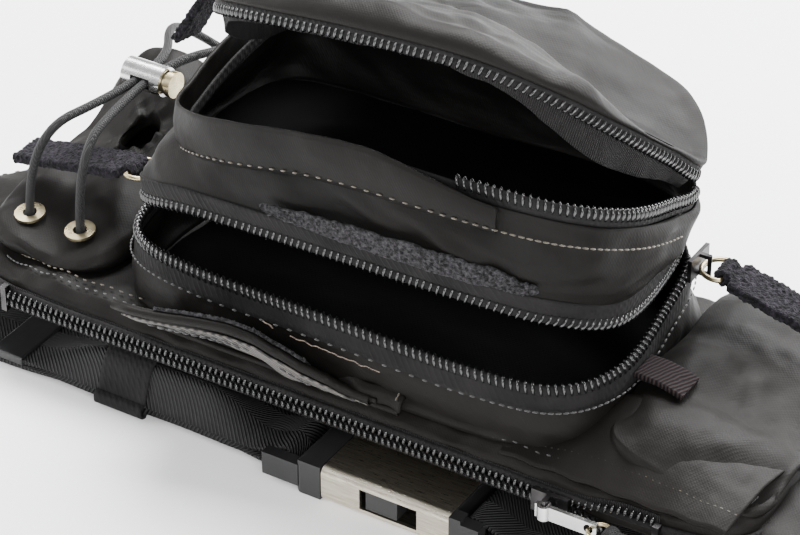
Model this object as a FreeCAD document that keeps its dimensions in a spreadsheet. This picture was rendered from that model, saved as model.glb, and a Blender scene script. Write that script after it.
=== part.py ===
"""A nylon waist bag: a flat rear pocket on a lumbar pad, two stacked zip compartments that open like a
book, side pockets, and a webbing belt with a metal-cased side-release buckle. Millimetres, +Z up.

The bag lies on its back. +X runs along the belt, +Y points to the bag's far long side, where both
compartments are hinged, and the zips run round the other three sides.
"""
import FreeCAD, Part
import Sketcher
import math
import os

V = FreeCAD.Vector
PARTS = "parts"
FOLDER = os.path.join(os.getcwd(), PARTS)
os.makedirs(FOLDER, exist_ok=True)
doc = FreeCAD.newDocument("waist_bag")
made = []

# ---------------------------------------------------------------- driving dimensions
DIMENSIONS = [
    ("cloth", 1.6, "a lined fabric wall"),
    ("pad_length", 236, "lumbar pad"),
    ("pad_depth", 66, ""),
    ("pad_height", 13, ""),
    ("pad_centre_y", 25, ""),
    ("pad_corner", 18, ""),
    ("base_length", 280, "rear pocket"),
    ("base_depth", 108, ""),
    ("base_height", 20, ""),
    ("base_corner", 22, ""),
    ("box_width", 164, "the two stacked compartments"),
    ("box_depth", 94, ""),
    ("near_corner", 22, ""),
    ("far_corner", 12, ""),
    ("lower_wall", 21, "height of the lower compartment's fabric wall"),
    ("upper_wall", 24, "height of the upper compartment's fabric wall"),
    ("lid_wall", 11, "height of the padded lid"),
    ("lid_round", 7, ""),
    ("tape_height", 6, "zip tape that shows"),
    ("tape_thick", 1.0, ""),
    ("coil_size", 2.2, "one row of zip coil"),
    ("coil_gap", 0.5, "between two closed rows"),
    ("lower_open_deg", 9, "how far the lower zip's opening stands open"),
    ("lid_open_deg", 15, ""),
    ("rear_zip_left", -118, "rear pocket's zip"),
    ("rear_zip_slider", 80, ""),
    ("rear_zip_right", 112, ""),
    ("rear_zip_level", 25, ""),
    ("rear_row_gap", 0.9, ""),
    ("rear_mouth", 9, "height of the slot that the rear zip closes"),
    ("rear_spread", 3.2, "how far each row parts at the open end"),
    ("pocket_width", 52, "side pockets"),
    ("pocket_depth", 92, ""),
    ("pocket_height", 33, ""),
    ("pocket_corner", 14, ""),
    ("pocket_centre_x", 113, ""),
    ("pocket_centre_y", 4, ""),
    ("hood_mouth_width", 20, "gathered mouth of the drawcord pocket"),
    ("hood_mouth_depth", 34, ""),
    ("hood_mouth_y", 14, ""),
    ("wing_reach", 46, "padded wings"),
    ("wing_root_depth", 78, ""),
    ("wing_root_height", 14, ""),
    ("wing_tip_depth", 42, ""),
    ("wing_tip_height", 5, ""),
    ("web_width", 38, "belt webbing"),
    ("web_thick", 1.8, ""),
    ("web_centre_y", -39, ""),
    ("buckle_left", -17, "buckle"),
    ("buckle_split", 5, ""),
    ("buckle_right", 60, ""),
    ("buckle_depth", 50, ""),
    ("buckle_height", 12.4, ""),
    ("buckle_shell", 1.2, ""),
    ("bar_size", 4, "bars that the webbing goes round"),
    ("cord_size", 3, "drawcord"),
]
dims = doc.addObject("Spreadsheet::Sheet", "dims")
for row, (alias, size, note) in enumerate(DIMENSIONS, start=1):
    dims.set(f"A{row}", str(size))
    dims.setAlias(f"A{row}", alias)
    dims.set(f"B{row}", note)
doc.recompute()


def mm(text):
    """The value of an expression on the sheet, such as 'dims.box_width / 2'."""
    found = dims.evalExpression(str(text))
    return float(getattr(found, "Value", found))


# ---------------------------------------------------------------- levels and poses
BASE_FLOOR = "dims.pad_height"
BASE_TOP = "dims.pad_height + dims.base_height"
LOWER_RIM = BASE_TOP + " + dims.lower_wall"
LOWER_ROW = LOWER_RIM + " + dims.tape_height"
UPPER_ROW = LOWER_ROW + " + dims.coil_size + dims.coil_gap"
UPPER_TAPE = UPPER_ROW + " + dims.coil_size"
UPPER_FLOOR = UPPER_TAPE + " + dims.tape_height"
UPPER_RIM = UPPER_FLOOR + " + dims.upper_wall"
RIM_ROW = UPPER_RIM + " + dims.tape_height"
LID_ROW = RIM_ROW + " + dims.coil_size + dims.coil_gap"
LID_TAPE = LID_ROW + " + dims.coil_size"
LID_FLOOR = LID_TAPE + " + dims.tape_height"
HINGE_INSET = 0.9

hinge_y = mm("dims.box_depth / 2") - HINGE_INSET
lower_hinge = V(0, hinge_y, (mm(LOWER_ROW) + mm(UPPER_TAPE)) / 2)
lid_hinge = V(0, hinge_y, (mm(RIM_ROW) + mm(LID_TAPE)) / 2)


def turned(centre, axis, degrees):
    """The placement that turns about an axis through a point."""
    return FreeCAD.Placement(V(), FreeCAD.Rotation(axis, degrees), centre)


STILL = FreeCAD.Placement()
UPPER = turned(lower_hinge, V(-1, 0, 0), mm("dims.lower_open_deg"))
LID = UPPER.multiply(turned(lid_hinge, V(-1, 0, 0), mm("dims.lid_open_deg")))


# ---------------------------------------------------------------- helpers
def keep(item, pose=STILL):
    """Registers a finished sub-part. Its Label is the node's name."""
    doc.recompute()
    if pose is not STILL:
        place = item.Placement.copy()
        for key in "xyz":
            item.setExpression(f".Placement.Base.{key}", None)
        item.Placement = pose.multiply(place)
    made.append(item)
    return item


def at(item, x="0", y="0", z="0"):
    """Binds an object's place to the sheet."""
    for key, text in zip("xyz", (x, y, z)):
        item.setExpression(f".Placement.Base.{key}", text)
    doc.recompute()
    return item


def cuboid(name, size, low):
    """A box whose sizes and lowest corner are expressions on the sheet."""
    item = doc.addObject("Part::Box", name)
    item.Label = name
    for key, text in zip(("Length", "Width", "Height"), size):
        item.setExpression(key, text)
    return at(item, *low) if low else item


def cylinder(name, radius, length, start, direction):
    """A round bar from a start point along a direction."""
    item = doc.addObject("Part::Cylinder", name)
    item.Label = name
    item.setExpression("Radius", str(radius))
    item.setExpression("Height", str(length))
    item.Placement = FreeCAD.Placement(V(*start), FreeCAD.Rotation(V(0, 0, 1), V(*direction)))
    doc.recompute()
    return item


def new_body(name):
    item = doc.addObject("PartDesign::Body", name)
    item.Label = name
    return item


def new_sketch(owner, name, role, height="0"):
    """A sketch on one of the body's own origin planes, raised along that plane's normal."""
    sketch = owner.newObject("Sketcher::SketchObject", name)
    plane = [f for f in owner.Origin.OriginFeatures if f.Role == role][0]
    sketch.AttachmentSupport = (plane, [""])
    sketch.MapMode = "FlatFace"
    sketch.setExpression(".AttachmentOffset.Base.z", height)
    return sketch


def rounded_outline(sketch, width, depth, near, far):
    """A rectangle about the sketch's origin, with one radius on its two near and one on its two far corners."""
    w, d, rn, rf = mm(width) / 2, mm(depth) / 2, mm(near), mm(far)
    corners = [(w, -d, rn, -90), (w, d, rf, 0), (-w, d, rf, 90), (-w, -d, rn, 180)]
    arcs = []
    for x, y, r, start in corners:
        centre = V(x - math.copysign(r, x), y - math.copysign(r, y), 0)
        circle = Part.Circle(centre, V(0, 0, 1), r)
        arc = Part.ArcOfCircle(circle, math.radians(start), math.radians(start + 90))
        arcs.append(sketch.addGeometry(arc, False))
    sides = []
    for k, arc in enumerate(arcs):
        begin = sketch.Geometry[arc].EndPoint
        end = sketch.Geometry[arcs[(k + 1) % 4]].StartPoint
        sides.append(sketch.addGeometry(Part.LineSegment(begin, end), False))
    for k in range(4):
        sketch.addConstraint(Sketcher.Constraint("Tangent", arcs[k], 2, sides[k], 1))
        sketch.addConstraint(Sketcher.Constraint("Tangent", sides[k], 2, arcs[(k + 1) % 4], 1))
    right, top, left, bottom = sides
    for side in (right, left):
        sketch.addConstraint(Sketcher.Constraint("Vertical", side))
    for side in (top, bottom):
        sketch.addConstraint(Sketcher.Constraint("Horizontal", side))
    sizes = [
        ("DistanceX", (-1, 1, right, 1), f"({width}) / 2"),
        ("DistanceX", (left, 1, -1, 1), f"({width}) / 2"),
        ("DistanceY", (-1, 1, top, 1), f"({depth}) / 2"),
        ("DistanceY", (bottom, 1, -1, 1), f"({depth}) / 2"),
        ("Radius", (arcs[0],), near),
        ("Radius", (arcs[1],), far),
        ("Radius", (arcs[2],), far),
        ("Radius", (arcs[3],), near),
    ]
    for kind, points, text in sizes:
        index = sketch.addConstraint(Sketcher.Constraint(kind, *points, mm(text)))
        sketch.setExpression(f"Constraints[{index}]", text)
    doc.recompute()


def pad(owner, sketch, height):
    feature = owner.newObject("PartDesign::Pad", "pad")
    feature.Profile = sketch
    feature.setExpression("Length", height)
    doc.recompute()
    return feature


def pocket(owner, sketch, depth, reversed_way=True):
    """Cuts from the sketch's plane; the volume has to fall."""
    before = owner.Shape.Volume
    feature = owner.newObject("PartDesign::Pocket", "pocket")
    feature.Profile = sketch
    feature.setExpression("Length", depth)
    feature.Reversed = reversed_way
    doc.recompute()
    if owner.Shape.Volume >= before - 1:
        raise RuntimeError(owner.Label + ": a pocket cut nothing")
    return feature


def shrunk(text, times="2"):
    return f"({text} - {times} * dims.cloth)"


def tray(name, width, depth, near, far, height, floor=True):
    """A rounded tub of one cloth's thickness. With no floor it is only the wall."""
    owner = new_body(name)
    outside = new_sketch(owner, "outside", "XY_Plane")
    rounded_outline(outside, width, depth, near, far)
    pad(owner, outside, height)
    inside = new_sketch(owner, "inside", "XY_Plane", "dims.cloth" if floor else "0")
    rounded_outline(inside, shrunk(width), shrunk(depth), shrunk(near, "1"), shrunk(far, "1"))
    pocket(owner, inside, height)
    return owner


def slab(name, width, depth, near, far, height):
    owner = new_body(name)
    outside = new_sketch(owner, "outside", "XY_Plane")
    rounded_outline(outside, width, depth, near, far)
    pad(owner, outside, height)
    return owner


def rounded_edges(owner, radius, wanted):
    """Rounds the edges of a body's last feature that a test picks."""
    doc.recompute()
    base = owner.Tip
    names = [f"Edge{k}" for k, e in enumerate(base.Shape.Edges, start=1) if wanted(e)]
    feature = owner.newObject("PartDesign::Fillet", "round")
    feature.Base = (base, names)
    feature.setExpression("Radius", radius)
    doc.recompute()
    return owner


def cut_window(owner, size, centre, role="XZ_Plane"):
    """Cuts a slot through a body's near wall: size and centre are expressions in the wall's plane."""
    sketch = new_sketch(owner, "window", role, centre[2])
    w, h = mm(size[0]) / 2, mm(size[1]) / 2
    cx, cy = mm(centre[0]), mm(centre[1])
    points = [V(cx - w, cy - h, 0), V(cx + w, cy - h, 0), V(cx + w, cy + h, 0), V(cx - w, cy + h, 0)]
    lines = [sketch.addGeometry(Part.LineSegment(points[k], points[(k + 1) % 4]), False) for k in range(4)]
    for k in range(4):
        sketch.addConstraint(Sketcher.Constraint("Coincident", lines[k], 2, lines[(k + 1) % 4], 1))
        kind = "Horizontal" if k % 2 == 0 else "Vertical"
        sketch.addConstraint(Sketcher.Constraint(kind, lines[k]))
    for kind, text, line in (("DistanceX", size[0], 0), ("DistanceY", size[1], 1)):
        index = sketch.addConstraint(Sketcher.Constraint(kind, lines[line], 1, lines[line], 2, mm(text)))
        sketch.setExpression(f"Constraints[{index}]", text)
    doc.recompute()
    return sketch


def feature_from(name, shape):
    item = doc.addObject("Part::Feature", name)
    item.Label = name
    item.Shape = shape
    return item


def joined(name, items):
    """One node from several touching primitives."""
    item = doc.addObject("Part::MultiFuse", name)
    item.Label = name
    item.Shapes = items
    doc.recompute()
    return item


def less(name, base, tool):
    item = doc.addObject("Part::Cut", name)
    item.Label = name
    item.Base = base
    item.Tool = tool
    doc.recompute()
    return item


def group(name, items):
    """One node of several separate solids."""
    item = doc.addObject("Part::Compound", name)
    item.Label = name
    item.Links = items
    doc.recompute()
    return item


def u_path(inset, level, far_end):
    """The line round the near three sides of the box, set in from its outside."""
    w = mm("dims.box_width") / 2 - inset
    d = mm("dims.box_depth") / 2 - inset
    r = mm("dims.near_corner") - inset
    bend = r * math.sqrt(0.5)
    arc_left = Part.Arc(V(-w, r - d, level), V(r - w - bend, r - d - bend, level), V(r - w, -d, level))
    arc_right = Part.Arc(V(w - r, -d, level), V(w - r + bend, r - d - bend, level), V(w, r - d, level))
    return Part.Wire([
        Part.LineSegment(V(-w, far_end, level), V(-w, r - d, level)).toShape(),
        arc_left.toShape(),
        Part.LineSegment(V(r - w, -d, level), V(w - r, -d, level)).toShape(),
        arc_right.toShape(),
        Part.LineSegment(V(w, r - d, level), V(w, far_end, level)).toShape(),
    ])


def rod_along(wire, radius):
    """A round bar swept along a wire."""
    first = wire.Edges[0]
    start = first.valueAt(first.FirstParameter)
    way = first.tangentAt(first.FirstParameter)
    if not first.Vertexes[0].Point.isEqual(wire.OrderedVertexes[0].Point, 1e-6):
        start = wire.OrderedVertexes[0].Point
    ring = Part.Wire([Part.makeCircle(radius, start, way)])
    return wire.makePipeShell([ring], True, False, 1)


def band_along(wire, thick, height):
    """A flat band of one thickness, standing on a level line."""
    face = wire.makeOffset2D(thick / 2, join=0, fill=True, openResult=True, intersection=False)
    return face.extrude(V(0, 0, height))


ROW_END_Y = 33      # the rows round the box stop here, short of the far corners
ROW_INSET = 1.3     # a row's middle, in from the outside of the fabric wall


def zip_half(name, row_level, tape_low, hangs, pose):
    """One row of coil, sewn to its tape, round the near three sides of the box."""
    radius = mm("dims.coil_size / 2")
    row = rod_along(u_path(ROW_INSET, mm(row_level) + radius, ROW_END_Y), radius)
    sewn = 0.7
    low = mm(tape_low) - (sewn if hangs else 0)
    tall = mm("dims.tape_height") + sewn
    tape = band_along(u_path(ROW_INSET, low, ROW_END_Y), mm("dims.tape_thick"), tall)
    return keep(feature_from(name, row.fuse(tape)), pose)


def sleeve(name, centre, x_low, length, inner, outer, start, end):
    """Fabric wrapped part of the way round a cord; angles run from +Y towards +Z."""
    def spot(radius, degrees):
        turn = math.radians(degrees)
        return V(x_low, centre.y + radius * math.cos(turn), centre.z + radius * math.sin(turn))

    middle = (start + end) / 2
    edges = [
        Part.Arc(spot(outer, start), spot(outer, middle), spot(outer, end)).toShape(),
        Part.LineSegment(spot(outer, end), spot(inner, end)).toShape(),
        Part.Arc(spot(inner, end), spot(inner, middle), spot(inner, start)).toShape(),
        Part.LineSegment(spot(inner, start), spot(outer, start)).toShape(),
    ]
    return feature_from(name, Part.Face(Part.Wire(edges)).extrude(V(length, 0, 0)))


PIPING = 1.1        # radius of the cord sewn in the fabric hinges
SLEEVE_IN = 1.4
SLEEVE_OUT = 2.1
HINGE_LENGTH = 116
NECK = 0.6


def piped_strip(name, low, high, centre, pose):
    """Far-side fabric ending in the piping cord that the part above turns about."""
    half = HINGE_LENGTH / 2
    strip = Part.makeBox(HINGE_LENGTH + 4, 1.2, high - low, V(-half - 2, centre.y - 0.6, low))
    neck = Part.makeBox(HINGE_LENGTH, NECK, centre.z - high + 0.2, V(-half, centre.y - NECK / 2, high - 0.2))
    cord = Part.makeCylinder(PIPING, HINGE_LENGTH, V(-half, centre.y, centre.z), V(1, 0, 0))
    return keep(feature_from(name, strip.fuse(neck).fuse(cord)), pose)


def sleeved_strip(name, high, centre, pose):
    """Far-side fabric whose lower edge wraps the piping below it."""
    half = HINGE_LENGTH / 2
    low = centre.z + SLEEVE_OUT + 1.8
    wrap = sleeve(name + "_wrap", centre, -half, HINGE_LENGTH, SLEEVE_IN, SLEEVE_OUT, 30, 245)
    strip = Part.makeBox(HINGE_LENGTH + 4, 1.2, high - low, V(-half - 2, centre.y - 0.6, low))
    neck_low = centre.z + SLEEVE_OUT - 0.2
    neck = Part.makeBox(HINGE_LENGTH, NECK, low - neck_low + 0.2, V(-half, centre.y - NECK / 2, neck_low))
    shape = wrap.Shape.fuse(strip).fuse(neck)
    doc.removeObject(wrap.Name)
    return keep(feature_from(name, shape), pose)


# ---------------------------------------------------------------- lumbar pad and rear pocket
lumbar = slab("lumbar_pad", "dims.pad_length", "dims.pad_depth", "dims.pad_corner", "dims.pad_corner",
              "dims.pad_height")
rounded_edges(lumbar, "3", lambda e: e.BoundBox.ZMax < 0.01)
keep(at(lumbar, y="dims.pad_centre_y"))

rear = tray("rear_pocket", "dims.base_length", "dims.base_depth", "dims.base_corner", "dims.base_corner",
            "dims.base_height - dims.cloth")
ZIP_LENGTH = "(dims.rear_zip_right - dims.rear_zip_left)"
ZIP_MIDDLE = "(dims.rear_zip_right + dims.rear_zip_left) / 2"
slot = cut_window(rear, (ZIP_LENGTH, "dims.rear_mouth"),
                  (ZIP_MIDDLE, "dims.rear_zip_level - dims.pad_height", "dims.base_depth / 2 + 1"))
pocket(rear, slot, "dims.cloth + 1.5", False)
keep(at(rear, z=BASE_FLOOR))

top = slab("base_top_panel", "dims.base_length", "dims.base_depth", "dims.base_corner", "dims.base_corner",
           "dims.cloth")
keep(at(top, z=BASE_TOP + " - dims.cloth"))

# The rear zip: both rows lie against each other up to the slider, and part beyond it.
near_face = -mm("dims.base_depth / 2")
row_y = near_face - 1.2
row_radius = mm("dims.coil_size / 2")
zip_level = mm("dims.rear_zip_level")
zip_left = mm("dims.rear_zip_left")
zip_right = mm("dims.rear_zip_right")
for name, side in (("rear_zip_top", 1), ("rear_zip_bottom", -1)):
    shut = zip_level + side * (mm("dims.rear_row_gap / 2") + row_radius)
    spread = shut + side * mm("dims.rear_spread")
    turn_x = mm("dims.rear_zip_slider") + 5
    line = [V(zip_left, row_y, shut), V(turn_x, row_y, shut), V(turn_x + 10, row_y, spread),
            V(zip_right, row_y, spread)]
    sewn = V(0, near_face - 0.9 - row_y, side * 0.5)
    edge = zip_level + side * 7
    outline = [p + sewn for p in line] + [V(zip_right, near_face - 0.9, edge), V(zip_left, near_face - 0.9, edge)]
    tape = Part.Face(Part.makePolygon(outline + outline[:1])).extrude(V(0, 0.9, 0))
    keep(feature_from(name, rod_along(Part.makePolygon(line), row_radius).fuse(tape)))

# ---------------------------------------------------------------- wings
def wing(name, side):
    """A padded wing that narrows from the base's end to the webbing."""
    owner = new_body(name)
    root_x = side * mm("dims.base_length / 2")
    sections = []
    for label, offset, depth, height, y, z in (
        ("wide", "0", "dims.wing_root_depth", "dims.wing_root_height", "-6", "23"),
        ("narrow", "dims.wing_reach", "dims.wing_tip_depth", "dims.wing_tip_height", "dims.web_centre_y", "22"),
    ):
        shift = root_x + side * mm(offset)
        sketch = new_sketch(owner, label, "YZ_Plane", str(shift))
        w, h = mm(depth) / 2, mm(height) / 2
        cy, cz = mm(y), mm(z)
        corners = [V(cy - w, cz - h, 0), V(cy + w, cz - h, 0), V(cy + w, cz + h, 0), V(cy - w, cz + h, 0)]
        for k in range(4):
            sketch.addGeometry(Part.LineSegment(corners[k], corners[(k + 1) % 4]), False)
        for k in range(4):
            sketch.addConstraint(Sketcher.Constraint("Coincident", k, 2, (k + 1) % 4, 1))
            sketch.addConstraint(Sketcher.Constraint("Horizontal" if k % 2 == 0 else "Vertical", k))
        for kind, text, line in (("DistanceX", depth, 0), ("DistanceY", height, 1)):
            index = sketch.addConstraint(Sketcher.Constraint(kind, line, 1, line, 2, mm(text)))
            sketch.setExpression(f"Constraints[{index}]", text)
        sections.append(sketch)
    doc.recompute()
    loft = owner.newObject("PartDesign::AdditiveLoft", "taper")
    loft.Profile = sections[0]
    loft.Sections = sections[1:]
    loft.Ruled = True
    doc.recompute()
    keep(owner)


wing("left_wing", -1)
wing("right_wing", 1)

# ---------------------------------------------------------------- side pockets
HOOD_TILT = 8
HOOD_LOW = 41
pocket_x = mm("dims.pocket_centre_x")
pocket_low_y = mm("dims.pocket_centre_y - dims.pocket_depth / 2")


def hood_level(y):
    """Height of the drawcord pocket's sloping top above the ground."""
    return HOOD_LOW + (y - pocket_low_y) * math.tan(math.radians(HOOD_TILT))


bellows = tray("bellows", "dims.pocket_width - 4", "dims.pocket_depth", "dims.pocket_corner",
               "dims.pocket_corner", "60", floor=False)
at(bellows, "-dims.pocket_centre_x - 2", "dims.pocket_centre_y", BASE_TOP)
slope = doc.addObject("Part::Box", "slope")
slope.Length, slope.Width, slope.Height = 90, 200, 90
hood_turn = FreeCAD.Rotation(V(1, 0, 0), HOOD_TILT)
drop = mm("dims.cloth") / math.cos(math.radians(HOOD_TILT))
slope.Placement = FreeCAD.Placement(V(-pocket_x - 45, pocket_low_y, HOOD_LOW - drop), hood_turn)
start = hood_turn.multVec(V(0, -40, 0))
slope.Placement.Base = slope.Placement.Base + start
keep(less("drawcord_pocket", bellows, slope))

hood_length = mm("dims.pocket_depth") / math.cos(math.radians(HOOD_TILT))
hood = slab("drawcord_hood", "dims.pocket_width - 4", str(hood_length), "dims.pocket_corner",
            "dims.pocket_corner", "dims.cloth")
mouth = new_sketch(hood, "mouth", "XY_Plane")
rounded_outline(mouth, "dims.hood_mouth_width", "dims.hood_mouth_depth", "9", "9")
pocket(hood, mouth, "dims.cloth + 1")
middle_y = mm("dims.pocket_centre_y")
EYELET_Y = -33
EYELETS = (("eyelet_right", -105), ("eyelet_left", -125))
holes = new_sketch(hood, "eyelet_holes", "XY_Plane")
for _, x in EYELETS:
    spot = V(x + pocket_x + 2, (EYELET_Y - middle_y) / math.cos(math.radians(HOOD_TILT)), 0)
    holes.addGeometry(Part.Circle(spot, V(0, 0, 1), 3.1), False)
doc.recompute()
pocket(hood, holes, "dims.cloth + 1")
hood.Placement = FreeCAD.Placement(V(-pocket_x - 2, middle_y, hood_level(middle_y) - drop), hood_turn)
keep(hood)

# The right pocket lies flat: a shell that slopes down to the wing, open underneath.
rise = [(87, 33), (87, 47), (138, 38), (138, 33)]
thin = mm("dims.cloth")
inner = [(87 + thin, 32), (87 + thin, 47 - 1.9), (138 - thin, 38 - 1.5), (138 - thin, 32)]
shells = []
for outline, y_low, y_high in ((rise, -42, 50), (inner, -42 + thin, 50 - thin)):
    ring = Part.makePolygon([V(x, y_low, z) for x, z in outline + outline[:1]])
    shells.append(Part.Face(ring).extrude(V(0, y_high - y_low, 0)))
keep(feature_from("right_side_pocket", shells[0].cut(shells[1])))
tab_tilt = math.degrees(math.atan2(-9, 51))
tab = cuboid("webbing_tab", ("16", "11", "2"), None)
tab.Placement = FreeCAD.Placement(V(94, -14, 45.9), FreeCAD.Rotation(V(0, 1, 0), -tab_tilt))
keep(tab)

# ---------------------------------------------------------------- the two stacked compartments
lower = tray("lower_compartment", "dims.box_width", "dims.box_depth", "dims.near_corner", "dims.far_corner",
             "dims.lower_wall")
keep(at(lower, z=BASE_TOP))
zip_half("lower_zip_lower_half", LOWER_ROW, LOWER_RIM, False, STILL)
piped_strip("lower_hinge_strip", mm(LOWER_RIM), lower_hinge.z - 3, lower_hinge, STILL)

upper = tray("upper_compartment", "dims.box_width", "dims.box_depth", "dims.near_corner", "dims.far_corner",
             "dims.upper_wall")
keep(at(upper, z=UPPER_FLOOR), UPPER)
zip_half("lower_zip_upper_half", UPPER_ROW, UPPER_TAPE, True, UPPER)
sleeved_strip("upper_hinge_sleeve", mm(UPPER_FLOOR), lower_hinge, UPPER)
zip_half("upper_zip_lower_half", RIM_ROW, UPPER_RIM, False, UPPER)
piped_strip("upper_hinge_strip", mm(UPPER_RIM), lid_hinge.z - 3, lid_hinge, UPPER)
facing = band_along(u_path(-0.5, mm(UPPER_RIM) - 9, ROW_END_Y), 1.0, 9)
keep(feature_from("upper_rim_facing", facing), UPPER)
near_wall = -mm("dims.box_depth / 2")
keep(cuboid("upper_velcro", ("26", "0.9", "8"), ("0", "-dims.box_depth / 2 - 0.9", UPPER_FLOOR + " + 1")), UPPER)

lid = slab("upper_lid", "dims.box_width", "dims.box_depth", "dims.near_corner", "dims.far_corner",
           "dims.lid_wall")
rounded_edges(lid, "dims.lid_round", lambda e: e.BoundBox.ZMin > mm("dims.lid_wall") - 0.01)
keep(at(lid, z=LID_FLOOR), LID)
zip_half("upper_zip_lid_half", LID_ROW, LID_TAPE, True, LID)
sleeved_strip("lid_hinge_sleeve", mm(LID_FLOOR), lid_hinge, LID)

# ---------------------------------------------------------------- front flap
FLAP_LEAN = 36      # from upright, outwards
flap_hinge = V(0, -52.5, mm(BASE_TOP) + 1.7)
flap_left = -67
flap_length = 92
keep(sleeve("flap_binding", flap_hinge, flap_left, flap_length, 1.2, 1.7, 200, 420))
bead = Part.makeCylinder(0.9, flap_length, V(flap_left, flap_hinge.y, flap_hinge.z), V(1, 0, 0))
neck = Part.makeBox(flap_length, 0.6, 4, V(flap_left, flap_hinge.y - 0.3, flap_hinge.z))
sheet = Part.makeBox(flap_length, 2.0, 17, V(flap_left, flap_hinge.y - 1.0, flap_hinge.z + 3.4))
corners = [e for e in sheet.Edges if e.Length < 2.1 and e.BoundBox.ZMin > flap_hinge.z + 20]
sheet = sheet.makeFillet(6, corners)
FLAP = turned(flap_hinge, V(1, 0, 0), FLAP_LEAN)
keep(feature_from("front_flap", bead.fuse(neck).fuse(sheet)), FLAP)
patch = Part.makeBox(flap_length - 24, 0.7, 8, V(flap_left + 12, flap_hinge.y + 1.0, flap_hinge.z + 9))
keep(feature_from("flap_velcro", patch), FLAP)

# ---------------------------------------------------------------- sliders, rings and tabs
SLIDER_LENGTH = 12
SLIDER_TALL = 7.6
BRIDGE_OUT = 2.4    # clear room behind the bridge bar for the ring's wire
WIRE = 0.8


def d_ring(straight, depth, wire):
    """A closed D in the XY plane: curved end at -X, straight side at +X, centred on the straight side."""
    half = straight / 2
    low, high = V(0, -half, 0), V(0, half, 0)
    curve = Part.Wire([Part.Arc(high, V(-depth, 0, 0), low).toShape()])
    start = curve.Edges[0]
    section = Part.Wire([Part.makeCircle(wire, high, start.tangentAt(start.FirstParameter))])
    bow = curve.makePipeShell([section], True, False)
    shape = bow.fuse(Part.makeCylinder(wire, straight, low, V(0, 1, 0)))
    return shape.fuse(Part.makeSphere(wire * 1.001, low)).fuse(Part.makeSphere(wire * 1.001, high))


def side_slider(name, side, y, level, pose):
    """A slider's outside plate on a row at the box's side, with its bridge, ring and fabric tab."""
    face = mm("dims.box_width / 2") + 0.5
    plate = Part.makeBox(1.3, SLIDER_LENGTH, SLIDER_TALL, V(face, y - SLIDER_LENGTH / 2, level - SLIDER_TALL / 2))
    bar_x = face + 1.3 + BRIDGE_OUT + 0.7
    bar = Part.makeCylinder(0.7, SLIDER_TALL, V(bar_x, y, level - SLIDER_TALL / 2), V(0, 0, 1))
    arms = [Part.makeBox(bar_x - face - 0.6, 1.4, 1.2, V(face + 0.6, y - 0.7, z))
            for z in (level - SLIDER_TALL / 2, level + SLIDER_TALL / 2 - 1.2)]
    body = plate.fuse(bar).fuse(arms[0]).fuse(arms[1])
    ring = d_ring(11, 8, WIRE)
    ring_x = bar_x - 0.7 - 0.5 - WIRE + 8
    ring.Placement = FreeCAD.Placement(V(ring_x, y, level), FreeCAD.Rotation())
    parts = {"slider": body, "ring": ring}
    mirrored = {}
    for key, shape in parts.items():
        mirrored[key] = shape if side > 0 else shape.mirror(V(0, 0, 0), V(1, 0, 0))
    keep(feature_from(name + "_slider", mirrored["slider"]), pose)
    keep(feature_from(name + "_ring", mirrored["ring"]), pose)
    return V(side * ring_x, y, level), V(side * bar_x, y, level)


def fabric_tab(name, centre, side, length, droop, pose):
    """A fabric pull folded round a ring's straight side, hanging outwards."""
    eye = Part.makeCylinder(2.6, 8, V(centre.x, centre.y - 4, centre.z), V(0, 1, 0))
    tongue = Part.makeBox(length, 13, 2.6, V(centre.x, centre.y - 6.5, centre.z - 1.3))
    trim = Part.makeBox(3.2, 13, 9, V(centre.x - 0.01, centre.y - 6.5, centre.z - 4.5))
    neck = Part.makeBox(3.4, 8, 2.6, V(centre.x, centre.y - 4, centre.z - 1.3))
    hole = Part.makeCylinder(WIRE + 0.4, 10, V(centre.x, centre.y - 5, centre.z), V(0, 1, 0))
    shape = tongue.cut(trim).fuse(neck).fuse(eye).cut(hole)
    if side < 0:
        shape = shape.mirror(centre, V(1, 0, 0))
    hang = turned(centre, V(0, 1, 0), side * droop)
    item = feature_from(name + "_tab", shape)
    item.Placement = hang
    return keep(item, pose)


lower_seam = lower_hinge.z
upper_seam = lid_hinge.z
left_ring, left_bar = side_slider("left", -1, -18, lower_seam, STILL)
right_ring, right_bar = side_slider("right", 1, 26, lower_seam, STILL)
fabric_tab("left", left_ring, -1, 45, 10, STILL)
fabric_tab("right", right_ring, 1, 32, 14, STILL)
top_ring, top_bar = side_slider("upper_left", -1, 26, upper_seam, UPPER)
fabric_tab("upper_left", top_ring, -1, 26, 60, UPPER)

# The rear slider runs on both rows: plates in front and behind, joined by a thin post between the rows.
slider_x = mm("dims.rear_zip_slider")
front_y = row_y - row_radius - 0.4
back_y = row_y + row_radius + 0.4
plate = Part.makeBox(SLIDER_LENGTH, 1.3, SLIDER_TALL, V(slider_x - 6, front_y - 1.3, zip_level - SLIDER_TALL / 2))
inner = Part.makeBox(SLIDER_LENGTH, 1.0, 5.6, V(slider_x - 6, back_y, zip_level - 2.8))
post = Part.makeBox(2.4, back_y - front_y + 0.4, 0.5, V(slider_x + 3, front_y - 0.2, zip_level - 0.25))
bar_y = front_y - 1.3 - BRIDGE_OUT - 0.7
bar = Part.makeCylinder(0.7, SLIDER_TALL, V(slider_x, bar_y, zip_level - SLIDER_TALL / 2), V(0, 0, 1))
arms = [Part.makeBox(1.4, front_y - 0.7 - bar_y, 1.2, V(slider_x - 0.7, bar_y, z))
        for z in (zip_level - SLIDER_TALL / 2, zip_level + SLIDER_TALL / 2 - 1.2)]
keep(feature_from("rear_slider", plate.fuse(inner).fuse(post).fuse(bar).fuse(arms[0]).fuse(arms[1])))

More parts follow.
